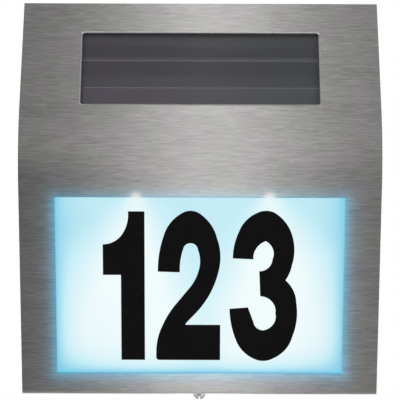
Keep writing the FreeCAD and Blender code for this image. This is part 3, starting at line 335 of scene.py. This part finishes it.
plate = Finish("opal_glow")
x, _, z = plate.parts()
cones = plate.math("MAXIMUM", *[lamp_cone(plate, lamp_x) for lamp_x in LAMPS_X])
left_fill = filling(plate, plate.math("ADD", x, WINDOW_HALF + 0.0005), LEFT_REACH)
right_fill = filling(plate, plate.math("SUBTRACT", WINDOW_HALF + 0.0005, x), RIGHT_REACH)
share = plate.math("DIVIDE", x, WINDOW_HALF)
square = plate.math("MULTIPLY", share, share)
fourth = plate.math("MULTIPLY", square, square)
foot_reach = plate.math("ADD", FOOT_REACH, plate.math("MULTIPLY", fourth, CORNER_REACH))
foot_fill = filling(plate, plate.math("SUBTRACT", z, WINDOW_BOTTOM), foot_reach)
fill = plate.math("MULTIPLY", plate.math("MULTIPLY", left_fill, right_fill), foot_fill)
pale = plate.math("SUBTRACT", PALE_MIDDLE, plate.math("MULTIPLY", square, PALE_LOSS))
bright = plate.math("MINIMUM", cones, 1.0)
lit = plate.math("ADD", pale, plate.math("MULTIPLY", bright, plate.math("SUBTRACT", 1.0, pale)))
white = plate.math("MULTIPLY", lit, fill)
cloud = plate.between(plate.noise(30.0, (1, 1, 1), 2.0), 0.3, 0.7, -0.03, 0.03)
white = plate.math("ADD", white, cloud, clamp=True)
glow = plate.add("ShaderNodeValToRGB")
plate.feed(glow.inputs[0], white)
ramp = glow.color_ramp
ramp.elements[0].position = 0.0
ramp.elements[0].color = rgb(120, 204, 233)
ramp.elements[1].position = 1.0
ramp.elements[1].color = rgb(241, 252, 253)
middle = ramp.elements.new(0.5)
middle.color = rgb(200, 239, 248)
plate.set(Base_Color=(0.02, 0.021, 0.021, 1), Roughness=0.32, IOR=1.49)
plate.set(Emission_Color=glow.outputs[0], Emission_Strength=0.96)
plate.bump(plate.noise(900.0, detail=2.0), 0.00002, 0.3)
dress(plate, "number_plate")
print("opal plate glows with", len(plate.tree.nodes), "nodes")

# %% [markdown]
# ## Black digits
#
# The digits are cut from black weatherproof film and stuck on the plate. The film is nearly matt, with
# the faint orange-peel relief that pressed-on film keeps.

# %% Digits
film = Finish("black_film_satin")
speck = film.noise(420.0, detail=3.0)
film.set(Base_Color=film.mix(speck, rgb(7, 7, 9), rgb(15, 15, 17)))
film.set(Roughness=film.between(speck, 0.3, 0.7, 0.45, 0.58), IOR=1.46, Specular_IOR_Level=0.12)
film.bump(film.noise(1300.0, detail=2.0), 0.00002, 0.3)
dress(film, "digit_1", "digit_2", "digit_3")
print("digits dressed")

# %% [markdown]
# ## Solar panel
#
# Thin-film cells are printed on the back of a sheet of glass, so they look almost black with a slow
# purple to blue-grey tint, and very fine lines cross them where the strips are divided into cells. The
# printed board behind shows through the gaps between the strips as a lighter grey. The glass in front is
# given as a clear skin with a weak reflection.

# %% Solar cells and their glass
PANEL_HALF, HALF_CELL = 0.06, 0.00375
cells = Finish("solar_cell_film")
x, _, _ = cells.parts()
hue = cells.between(x, -PANEL_HALF, PANEL_HALF, 0.0, 1.0, smooth=True)
drift = cells.between(cells.noise(22.0, detail=2.0), 0.2, 0.8, -0.3, 0.3)
wander = cells.math("ADD", hue, drift, clamp=True)
dark = cells.mix(wander, rgb(55, 40, 60), rgb(42, 48, 54))
fine_line = cells.math("PINGPONG", cells.math("ADD", x, PANEL_HALF), HALF_CELL)
line = cells.between(fine_line, 0.00005, 0.00012, 0.35, 0.0)
grain = cells.noise(2600.0, detail=1.0)
body = cells.mix(line, dark, rgb(98, 94, 104))
cells.set(Base_Color=cells.mix(cells.between(grain, 0.3, 0.7, 0.0, 0.25), body, rgb(42, 42, 48)))
cells.set(Roughness=0.42, Coat_Weight=0.25, Coat_Roughness=0.15, IOR=1.5)
cells.bump(grain, 0.00001, 0.2)
dress(cells, "solar_cells")

board = Finish("panel_board_grey")
weave = board.noise(1800.0, (1, 1, 0.4), 2.0)
board.set(Base_Color=board.mix(weave, rgb(120, 119, 122), rgb(142, 141, 145)), Roughness=0.55)
board.bump(weave, 0.00003, 0.4)
dress(board, "solar_backing")

glass = Finish("clear_cover_glass")
smear = glass.noise(45.0, (1, 1, 2.5), 3.0)
glass.set(Base_Color=(0.32, 0.33, 0.34, 1), Alpha=0.10, IOR=1.5)
glass.set(Roughness=glass.between(smear, 0.3, 0.7, 0.06, 0.14))
glass.bump(glass.noise(60.0, detail=1.0), 0.00002, 0.1)
dress(glass, "solar_glass")
print("solar panel dressed")

# %% [markdown]
# ## Moulded plastics, foam and film
#
# The housing, its back and the battery compartment are injection moulded in black plastic. The mould's
# walls were spark eroded, which leaves a fine even grain, and the flow of the melt leaves slow, faint
# changes of gloss. The seals are closed-cell foam, whose cut cells show as small pits. The reflector is a
# white film with a soft sheen.


# %% Moulded plastics
def moulded(name, light, dark, grain_depth=0.00004, gloss=(0.42, 0.58)):
    """Grained plastic: fine pits, with slow changes of colour and gloss."""
    f = Finish(name)
    pits = f.noise(1500.0, detail=3.0, roughness=0.6)
    slow = f.noise(35.0, detail=2.0)
    grain_and_highlight = f.math("ADD", f.math("MULTIPLY", pits, 0.35), f.math("MULTIPLY", slow, 0.65))
    f.set(Base_Color=f.mix(f.between(grain_and_highlight, 0.35, 0.65), dark, light), IOR=1.5)
    f.set(Roughness=f.between(slow, 0.3, 0.7, *gloss))
    f.bump(pits, grain_depth, 0.55)
    return f


housing_black = moulded("moulded_black", rgb(46, 46, 48), rgb(32, 32, 34))
dress(housing_black, "housing", "rear_cover", "battery_tray", "battery_door")
knob_black = moulded("switch_knob_black", rgb(40, 40, 42), rgb(26, 26, 28), 0.00002, (0.30, 0.42))
dress(knob_black, "switch_slider")

foam = Finish("closed_cell_foam")
cell = foam.add("ShaderNodeTexVoronoi")
foam.feed(cell.inputs["Vector"], foam.place)
cell.inputs["Scale"].default_value = 2200.0
pore = foam.between(cell.outputs["Distance"], 0.0, 0.5)
foam.set(Base_Color=foam.mix(pore, rgb(22, 22, 24), rgb(44, 44, 47)), Roughness=0.92)
foam.bump(pore, 0.00008, 0.6)
dress(foam, "number_gasket", "solar_gasket", "rear_gasket", "door_seal")

reflector = Finish("white_film_sheen")
fibre = reflector.noise(700.0, (1, 1, 0.5), 3.0)
reflector.set(Base_Color=reflector.mix(fibre, rgb(222, 224, 225), rgb(236, 238, 239)), Roughness=0.45)
reflector.set(Sheen_Weight=0.15)
reflector.bump(fibre, 0.00002, 0.3)
dress(reflector, "reflector")
print("plastics dressed")

# %% [markdown]
# ## Steel behind the sheet
#
# The wall bracket is pressed from zinc-plated sheet, whose crystals show as pale and dark patches a few
# millimetres wide. The screws and nuts are bright plated, with fine tool marks and small dull spots. The
# small lock screw under the sheet is stainless and slightly polished.

# %% Plated steel
zinc = Finish("bracket_zinc")
spangle = zinc.add("ShaderNodeTexVoronoi")
zinc.feed(spangle.inputs["Vector"], zinc.place)
spangle.inputs["Scale"].default_value = 260.0
patch = zinc.add("ShaderNodeSeparateColor")
zinc.feed(patch.inputs[0], spangle.outputs["Color"])
cloudy = zinc.math("MULTIPLY", zinc.noise(90.0), 0.4)
mixed = zinc.math("ADD", zinc.math("MULTIPLY", patch.outputs[0], 0.6), cloudy)
zinc.set(Base_Color=zinc.mix(mixed, rgb(158, 162, 166), rgb(196, 199, 202)), Metallic=1.0)
zinc.set(Roughness=zinc.between(mixed, 0.2, 0.8, 0.30, 0.46))
zinc.bump(zinc.noise(500.0, detail=3.0), 0.00004, 0.3)
dress(zinc, "wall_bracket")


def turned(name, light, dark, gloss):
    """Bright fastener steel with fine tool marks and small dull spots."""
    f = Finish(name)
    marks = f.noise(3200.0, (1, 1, 1), 2.0)
    spots = f.between(f.noise(650.0, detail=3.0), 0.55, 0.7)
    f.set(Base_Color=f.mix(spots, light, dark), Metallic=1.0)
    f.set(Roughness=f.between(marks, 0.3, 0.7, *gloss))
    f.bump(marks, 0.00002, 0.3)
    return f


plated = turned("plated_fastener", rgb(205, 206, 208), rgb(160, 160, 160), (0.24, 0.36))
dress(plated, "weld_studs", "stud_nuts", "rear_screws", "board_screws", "door_screws", "lock_nut")
bright = turned("bright_screw_steel", rgb(232, 232, 234), rgb(200, 200, 203), (0.14, 0.22))
dress(bright, "lock_screw", "lock_washer")
contact = turned("nickel_contact", rgb(214, 208, 196), rgb(180, 172, 158), (0.22, 0.34))
dress(contact, "negative_contact", "positive_contact")
switch_case = turned("switch_case_metal", rgb(190, 190, 190), rgb(150, 150, 152), (0.30, 0.44))
dress(switch_case, "switch_body")
print("metals dressed")

# %% [markdown]
# ## Circuit boards and parts
#
# The charging circuit's board is green solder mask over glass weave, with copper tracks that stand out a
# little lighter. The lamp board is white. Lamps are pale yellow phosphor that lights up; the can has a
# dark printed sleeve with a pale stripe; the coil's core is dull ferrite. None of it is seen from
# outside, but it shows once the cover is off.


# %% Circuit boards
def circuit(name, mask, track, weave_depth):
    """Solder mask: a fine weave below, and tracks from a stepped pattern of short straight runs."""
    f = Finish(name)
    route = f.add("ShaderNodeTexVoronoi", distance="MANHATTAN", feature="F1")
    f.feed(route.inputs["Vector"], f.place)
    route.inputs["Scale"].default_value = 210.0
    copper = f.between(route.outputs["Distance"], 0.42, 0.47)
    weave = f.noise(2400.0, (1, 0.3, 1), 2.0)
    f.set(Base_Color=f.mix(f.math("MULTIPLY", copper, 0.7), mask, track), Roughness=0.32, Coat_Weight=0.3)
    f.bump(f.math("ADD", copper, f.math("MULTIPLY", weave, 0.3)), weave_depth, 0.5)
    return f


dress(circuit("green_mask", rgb(24, 88, 50), rgb(48, 124, 74), 0.00003), "main_board")
dress(circuit("white_mask", rgb(226, 227, 224), rgb(240, 240, 238), 0.00002), "led_board")

lamp = Finish("lamp_phosphor")
grit = lamp.noise(3000.0, detail=2.0)
lamp.set(Base_Color=lamp.mix(grit, rgb(250, 240, 190), rgb(255, 248, 214)), Roughness=0.35, Coat_Weight=0.5)
lamp.set(Emission_Color=(0.82, 0.93, 1.0, 1), Emission_Strength=3.0)
lamp.bump(grit, 0.00002, 0.3)
dress(lamp, "leds")

chip = moulded("chip_resin", rgb(44, 44, 45), rgb(30, 30, 31), 0.00003, (0.5, 0.62))
dress(chip, "controller_chip", "chip_resistors")
ferrite = moulded("ferrite_core", rgb(62, 60, 58), rgb(44, 43, 42), 0.00006, (0.6, 0.75))
dress(ferrite, "inductor")

STRIPE_END = -0.0590
sleeve = Finish("can_sleeve_print")
x, _, _ = sleeve.parts()
stripe = sleeve.between(x, STRIPE_END - 0.0001, STRIPE_END, 1.0, 0.0)
skin = sleeve.noise(900.0, (1, 0.2, 1), 2.0)
ground = sleeve.mix(skin, rgb(24, 34, 58), rgb(34, 46, 74))
sleeve.set(Base_Color=sleeve.mix(stripe, ground, rgb(178, 184, 190)), Roughness=0.28)
sleeve.bump(skin, 0.00002, 0.3)
dress(sleeve, "capacitor")
print("boards dressed")

# %% [markdown]
# ## Battery and wires
#
# The rechargeable cell has a shrunk plastic sleeve, green with a pale band at its cap end, and no
# lettering. The wires are stranded copper in coloured plastic, whose surface is slightly dull and uneven.

# %% Battery and wires
BAND_LENGTH, CAP_LENGTH, BORDER = 0.0085, 0.0015, 0.0002
battery = Finish("cell_sleeve_green")
x, _, _ = battery.parts()
battery_end = float(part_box("battery")[1].x)
band = battery.between(x, battery_end - BAND_LENGTH, battery_end - BAND_LENGTH + BORDER)
metal_end = battery.between(x, battery_end - CAP_LENGTH, battery_end - CAP_LENGTH + BORDER)
skin = battery.noise(260.0, (0.3, 1, 1), 3.0)
green = battery.mix(skin, rgb(34, 104, 62), rgb(48, 126, 78))
banded = battery.mix(band, green, rgb(222, 224, 220))
battery.set(Base_Color=battery.mix(metal_end, banded, rgb(200, 200, 200)))
battery.set(Metallic=metal_end, Roughness=0.3)
battery.bump(skin, 0.00003, 0.3)
dress(battery, "battery")


def lead(name, light, dark):
    """Wire insulation: slightly dull and faintly uneven."""
    f = Finish(name)
    uneven = f.noise(1400.0, (0.4, 1, 1), 2.0)
    f.set(Base_Color=f.mix(uneven, dark, light), Roughness=f.between(uneven, 0.3, 0.7, 0.38, 0.5))
    f.bump(uneven, 0.00003, 0.4)
    return f


dress(lead("lead_yellow_pvc", rgb(222, 186, 52), rgb(200, 164, 40)), "solar_leads")
dress(lead("lead_white_pvc", rgb(226, 226, 222), rgb(206, 206, 202)), "led_leads")
dress(lead("lead_red_pvc", rgb(186, 40, 36), rgb(160, 30, 28)), "battery_leads")
undressed = [n for n, o in nodes.items() if any(m is None or not m.use_nodes for m in o.data.materials)]
print("CAD nodes", len(nodes), "undressed", undressed)

# %% [markdown]
# ## Marks and grip on the back
#
# The slide switch needs an on and an off mark. Both are the plain international ones: a raised bar for on
# and a raised ring for off, moulded on the cover on either side of the knob. The battery door gets five
# low rounded ribs for the fingertip. Each is a swept surface, a half-round section carried along a path.
# The ring's path closes on itself, and the other paths' ends are drawn in almost to a point.


# %% Raised marks and ribs
SINK = 0.00015
RING_RADIUS, RING_OFFSET = 0.0016, 0.0050
BAR_HALF, BAR_OFFSET = 0.0018, 0.0080
MARK_WIDTH, MARK_RISE = 0.0006, 0.0003
GRIP_COUNT, GRIP_FIRST, GRIP_STEP, GRIP_HALF = 5, 0.0062, 0.0026, 0.009
GRIP_WIDTH, GRIP_RISE = 0.0012, 0.00035


def surface_grid(name, points, closed_u, closed_v):
    """A mesh from a grid of points, shape (u, v, 3), joined to quads in one array step."""
    rows, columns = points.shape[:2]
    index = np.arange(rows * columns).reshape(rows, columns)
    down = np.roll(index, -1, 0) if closed_u else index[1:]
    along = index if closed_u else index[:-1]
    if closed_v:
        quads = np.stack([along, np.roll(along, -1, 1), np.roll(down, -1, 1), down], -1).reshape(-1, 4)
    else:
        quads = np.stack([along[:, :-1], along[:, 1:], down[:, 1:], down[:, :-1]], -1).reshape(-1, 4)
    mesh = bpy.data.meshes.new(name)
    mesh.vertices.add(rows * columns)
    mesh.vertices.foreach_set("co", points.reshape(-1).astype(np.float32))
    mesh.loops.add(quads.size)
    mesh.loops.foreach_set("vertex_index", quads.reshape(-1).astype(np.int32))
    mesh.polygons.add(len(quads))
    mesh.polygons.foreach_set("loop_start", np.arange(0, quads.size, 4, dtype=np.int32))
    mesh.polygons.foreach_set("use_smooth", np.ones(len(quads), bool))
    mesh.update(calc_edges=True)
    mesh.validate()
    piece = bpy.data.objects.new(name, mesh)
    bpy.context.scene.collection.objects.link(piece)
    return piece


def rib(name, path, width, rise, ring, face_y):
    """A half-round bead along a path.

    At each point the section is half the width times cosine sideways and the rise times sine outwards,
    with its underside SINK deep in the face. On an open path its size is the square root of
    1 - |2s - 1|^12 over the share s of the length, so both ends narrow almost to nothing.
    """
    path = np.asarray(path, float)
    if ring:
        step = np.roll(path, -1, 0) - np.roll(path, 1, 0)
        size = np.ones(len(path))
    else:
        step = np.gradient(path, axis=0)
        share = np.linspace(0, 1, len(path))
        size = np.sqrt(np.clip(1 - np.abs(2 * share - 1) ** 12, 1e-6, 1))
    step /= np.linalg.norm(step, axis=1)[:, None]
    side = np.stack([-step[:, 1], step[:, 0]], 1)
    angle = np.linspace(0, 2 * np.pi, 24, endpoint=False)
    sideways = np.cos(angle) * width / 2
    outwards = np.where(np.sin(angle) > 0, np.sin(angle) * rise, np.sin(angle) * SINK)
    points = np.zeros((len(path), len(angle), 3))
    points[..., 0] = path[:, None, 0] + side[:, None, 0] * sideways * size[:, None]
    points[..., 2] = path[:, None, 1] + side[:, None, 1] * sideways * size[:, None]
    points[..., 1] = face_y + outwards * size[:, None]
    return surface_grid(name, points, ring, True)


knob_low, knob_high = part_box("switch_slider")
knob_x, knob_z = (knob_low.x + knob_high.x) / 2, (knob_low.z + knob_high.z) / 2
cover_y = float(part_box("rear_cover")[1].y)
around = np.linspace(0, 2 * np.pi, 64, endpoint=False)
ring_x = knob_x - RING_OFFSET + RING_RADIUS * np.cos(around)
ring_z = knob_z + RING_RADIUS * np.sin(around)
off_ring = np.stack([ring_x, ring_z], 1)
on_bar = np.linspace((knob_x + BAR_OFFSET, knob_z - BAR_HALF), (knob_x + BAR_OFFSET, knob_z + BAR_HALF), 40)
marks = [rib("switch_mark_off", off_ring, MARK_WIDTH, MARK_RISE, True, cover_y),
         rib("switch_mark_on", on_bar, MARK_WIDTH, MARK_RISE, False, cover_y)]
door_low, door_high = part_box("battery_door")
grip_x = (door_low.x + door_high.x) / 2
grips = []
for index in range(GRIP_COUNT):
    grip_z = float(door_low.z) + GRIP_FIRST + index * GRIP_STEP
    line = np.linspace((grip_x - GRIP_HALF, grip_z), (grip_x + GRIP_HALF, grip_z), 60)
    grips.append(rib(f"door_grip_{index + 1}", line, GRIP_WIDTH, GRIP_RISE, False, float(door_high.y)))
for piece in marks + grips:
    piece.data.materials.append(housing_black.material)
    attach(piece, "sign" if piece in marks else "battery_door")
print("marks", len(marks), "ribs", len(grips), "stand", round(marks[0].data.vertices[0].co.y, 5))

# %% [markdown]
# ## Rolled edge of the solar window
#
# The tool that punches the window from the sheet rounds its edge, and the bare round catches the light as
# a thin bright line, strongest on the upper side. It could be a bevel on the sheet, but the sheet's mesh
# stays as it is, so a hair-thin bead is laid round the opening. It is a closed tube: a small ellipse
# carried round a rectangle with quarter-circle corners. Its upper run is painted brighter than the other
# three, a painted highlight.


# %% Window bead
SOLAR_HALF, SOLAR_BOTTOM, SOLAR_TOP, SOLAR_CORNER = 0.0601, 0.0251, 0.0706, 0.0015
BEAD_WIDTH, BEAD_PROUD = 0.0006, 0.0002


def edge_roll(name, span):
    """A narrow bead round the solar window; the span is its lower and upper end, up the face's slope.

    The path is a rectangle with quarter-circle corners, in even steps on each straight. At each step the
    section is half the width times cosine across the path and the proudness times sine out of the face.
    """
    across, low, high = SOLAR_HALF - SOLAR_CORNER, span[0] + SOLAR_CORNER, span[1] - SOLAR_CORNER
    centres = ((across, high), (-across, high), (-across, low), (across, low))
    turn = np.linspace(0, np.pi / 2, 9)
    corner = [np.array(centre) + SOLAR_CORNER * np.stack([np.cos(turned_by), np.sin(turned_by)], 1)
              for centre, turned_by in zip(centres, [turn + k * np.pi / 2 for k in range(4)])]
    path = np.concatenate(corner)
    ends = np.roll(path, -1, 0)
    share = np.linspace(0, 1, 6, endpoint=False)[None, :, None]
    path = (path[:, None] * (1 - share) + ends[:, None] * share).reshape(-1, 2)
    path = path[np.linalg.norm(path - np.roll(path, 1, 0), axis=1) > 1e-7]
    step = np.roll(path, -1, 0) - np.roll(path, 1, 0)
    step /= np.linalg.norm(step, axis=1)[:, None]
    side = np.stack([step[:, 1], -step[:, 0]], 1)
    angle = np.linspace(0, 2 * np.pi, 12, endpoint=False)
    sideways = np.cos(angle) * BEAD_WIDTH / 2
    outwards = np.sin(angle) * BEAD_PROUD
    u = path[:, None, 0] + side[:, None, 0] * sideways
    v = path[:, None, 1] + side[:, None, 1] * sideways
    w = np.broadcast_to(outwards, u.shape)
    y = CORNER_Y + v * math.sin(UPPER_LEAN) - w * math.cos(UPPER_LEAN)
    z = CORNER_Z + v * math.cos(UPPER_LEAN) + w * math.sin(UPPER_LEAN)
    points = np.stack([u, y, z], -1)
    return surface_grid(name, points, True, True)


bead = edge_roll("solar_window_edge", (SOLAR_BOTTOM, SOLAR_TOP))
rolled = turned("rolled_edge_steel", rgb(250, 249, 247), rgb(228, 227, 225), (0.24, 0.34))
_, _, z = rolled.parts()
upper_run = CORNER_Z + SOLAR_TOP * math.cos(UPPER_LEAN)
# The upper run of the bead is painted brighter than the rest: a painted highlight.
grain_and_highlight = rolled.between(z, upper_run - 0.0012, upper_run - 0.0006)
rolled.set(Base_Color=rolled.mix(grain_and_highlight, rgb(186, 185, 183), rgb(252, 251, 249)))
bead.data.materials.append(rolled.material)
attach(bead, "sign")
print("window edge", len(bead.data.vertices), "points")

# %% [markdown]
# ## Camera
#
# The photograph is taken straight from the front at the height of the sign's middle. The sheet's foremost
# surface is 1.3 m away, and a long lens draws the sides nearly parallel. The sign hangs a fifth of a
# degree clockwise, which the camera takes up.

# %% Camera
FOCAL_LENGTH, SENSOR_WIDTH = 237.0, 36.0
CAMERA_DISTANCE = 1.350
CAMERA_ROLL = -0.18

lens = bpy.data.cameras.new("photo_camera")
lens.lens = FOCAL_LENGTH
lens.sensor_width = SENSOR_WIDTH
lens.clip_start, lens.clip_end = 0.05, 50.0
camera = bpy.data.objects.new("photo_camera", lens)
camera.location = (0.0, -CAMERA_DISTANCE, 0.0)
camera.rotation_euler = (math.radians(90), math.radians(CAMERA_ROLL), 0)
bpy.context.scene.collection.objects.link(camera)
bpy.context.scene.camera = camera
print("camera at", tuple(round(c, 3) for c in camera.location))

# %% [markdown]
# ## Room and light
#
# The picture's ground is plain white, so rays from the camera that meet nothing find white, also through
# clear things. Brushed steel shows what stands in front of it, drawn out up and down: a tall bright panel
# just right of the middle, a darker room on both sides of it, and a lighter one again far out to the
# sides. The panel is brighter low down, and the room is lighter above and a little lighter on the right.
# That is given as a pattern of light in the surroundings that only reflections see. Three broad lamps and
# an even sky light what isn't polished. The floor is a plain pale square well below the sign, outside the
# photograph's view.

# %% Room and light
SKY_LEVEL, GROUND_LEVEL = 0.55, 1.0
BAND_X, BAND_REACH, BAND_LEVEL = 0.0040, 0.009, 3.75
FAR_START, FAR_END, FAR_LEVEL = 0.22, 0.45, 0.45
LAMPS = (("key_lamp", (-0.9, -1.1, 0.8), 0.8, 9.0),
         ("fill_lamp", (1.0, -0.9, 0.3), 0.8, 5.0),
         ("rear_lamp", (0.5, 1.2, 0.6), 0.9, 9.0))
FLOOR_HALF, FLOOR_Z = 0.5, -1.30

world = bpy.data.worlds.new("studio")
bpy.context.scene.world = world
world.use_nodes = True
tree = world.node_tree
tree.nodes.clear()


def wire(socket, value):
    """Joins a socket of the world to an output, or sets it to a plain value."""
    if isinstance(value, bpy.types.NodeSocket):
        tree.links.new(value, socket)
    else:
        socket.default_value = value


def op(kind, *values):
    """The output of a maths node in the world."""
    node = tree.nodes.new("ShaderNodeMath")
    node.operation = kind
    for socket, value in zip(node.inputs, values):
        wire(socket, value)
    return node.outputs[0]


direction = tree.nodes.new("ShaderNodeTexCoord").outputs["Generated"]
split = tree.nodes.new("ShaderNodeSeparateXYZ")
wire(split.inputs[0], direction)
sideways = split.outputs[0]


def band(centre, reach, level):
    """A bell of light over the sideways part of a direction, the same at every height."""
    off = op("DIVIDE", op("SUBTRACT", sideways, centre), reach)
    return op("MULTIPLY", op("EXPONENT", op("MULTIPLY", op("MULTIPLY", off, off), -1.0)), level)


def ramp_over(value, low, high, at_low, at_high):
    """A soft step: one level below the low end, another above the high end, and a smooth rise between."""
    node = tree.nodes.new("ShaderNodeMapRange")
    node.interpolation_type = "SMOOTHSTEP"
    for socket, number in zip(node.inputs, (value, low, high, at_low, at_high)):
        wire(socket, number)
    return node.outputs[0]


height = split.outputs[2]
tilt = ramp_over(sideways, -0.10, 0.10, -0.05, 0.05)
wide = op("MAXIMUM", op("ADD", ramp_over(height, -0.40, 0.25, 0.03, 0.29), tilt), 0.0)
narrow = op("MULTIPLY", band(BAND_X, BAND_REACH, BAND_LEVEL), ramp_over(height, -0.40, 0.70, 1.42, 1.0))
far_right = ramp_over(sideways, FAR_START, FAR_END, 0.0, FAR_LEVEL)
far_left = ramp_over(sideways, -FAR_END, -FAR_START, FAR_LEVEL, 0.0)
panel = op("ADD", op("ADD", wide, narrow), op("ADD", far_right, far_left))


def light(strength):
    """White light of a given strength from the surroundings."""
    node = tree.nodes.new("ShaderNodeBackground")
    wire(node.inputs[0], (1, 1, 1, 1))
    wire(node.inputs[1], strength)
    return node.outputs[0]


def choose(amount, first, second):
    """The first light, or the second where the amount is one."""
    node = tree.nodes.new("ShaderNodeMixShader")
    for socket, value in zip(node.inputs, (amount, first, second)):
        wire(socket, value)
    return node.outputs[0]


ray = tree.nodes.new("ShaderNodeLightPath").outputs
lighting = choose(ray["Is Glossy Ray"], light(SKY_LEVEL), light(panel))
direct = op("MAXIMUM", ray["Is Camera Ray"], ray["Is Transmission Ray"])
output = tree.nodes.new("ShaderNodeOutputWorld")
wire(output.inputs[0], choose(direct, lighting, light(GROUND_LEVEL)))

target = (cad_low + cad_high) / 2
for name, place, size, power in LAMPS:
    data = bpy.data.lights.new(name, "AREA")
    data.size = size
    data.energy = power
    lamp_object = bpy.data.objects.new(name, data)
    lamp_object.location = place
    aim = target - lamp_object.location
    lamp_object.rotation_mode = "QUATERNION"
    lamp_object.rotation_quaternion = aim.to_track_quat("-Z", "Y")
    bpy.context.scene.collection.objects.link(lamp_object)

corners = np.array([[-1, -1], [1, -1], [1, 1], [-1, 1]], float) * FLOOR_HALF
floor_mesh = bpy.data.meshes.new("studio_floor")
floor_mesh.from_pydata(np.column_stack([corners, np.full(4, FLOOR_Z)]).tolist(), [], [(0, 1, 2, 3)])
floor = bpy.data.objects.new("studio_floor", floor_mesh)
bpy.context.scene.collection.objects.link(floor)
ground = Finish("studio_floor_paint")
dust = ground.noise(6.0, detail=3.0)
ground.set(Base_Color=ground.mix(dust, (0.86, 0.86, 0.86, 1), (0.89, 0.89, 0.89, 1)), Roughness=0.8)
floor_mesh.materials.append(ground.material)

bpy.context.scene.view_settings.view_transform = "Standard"
print("room ready")
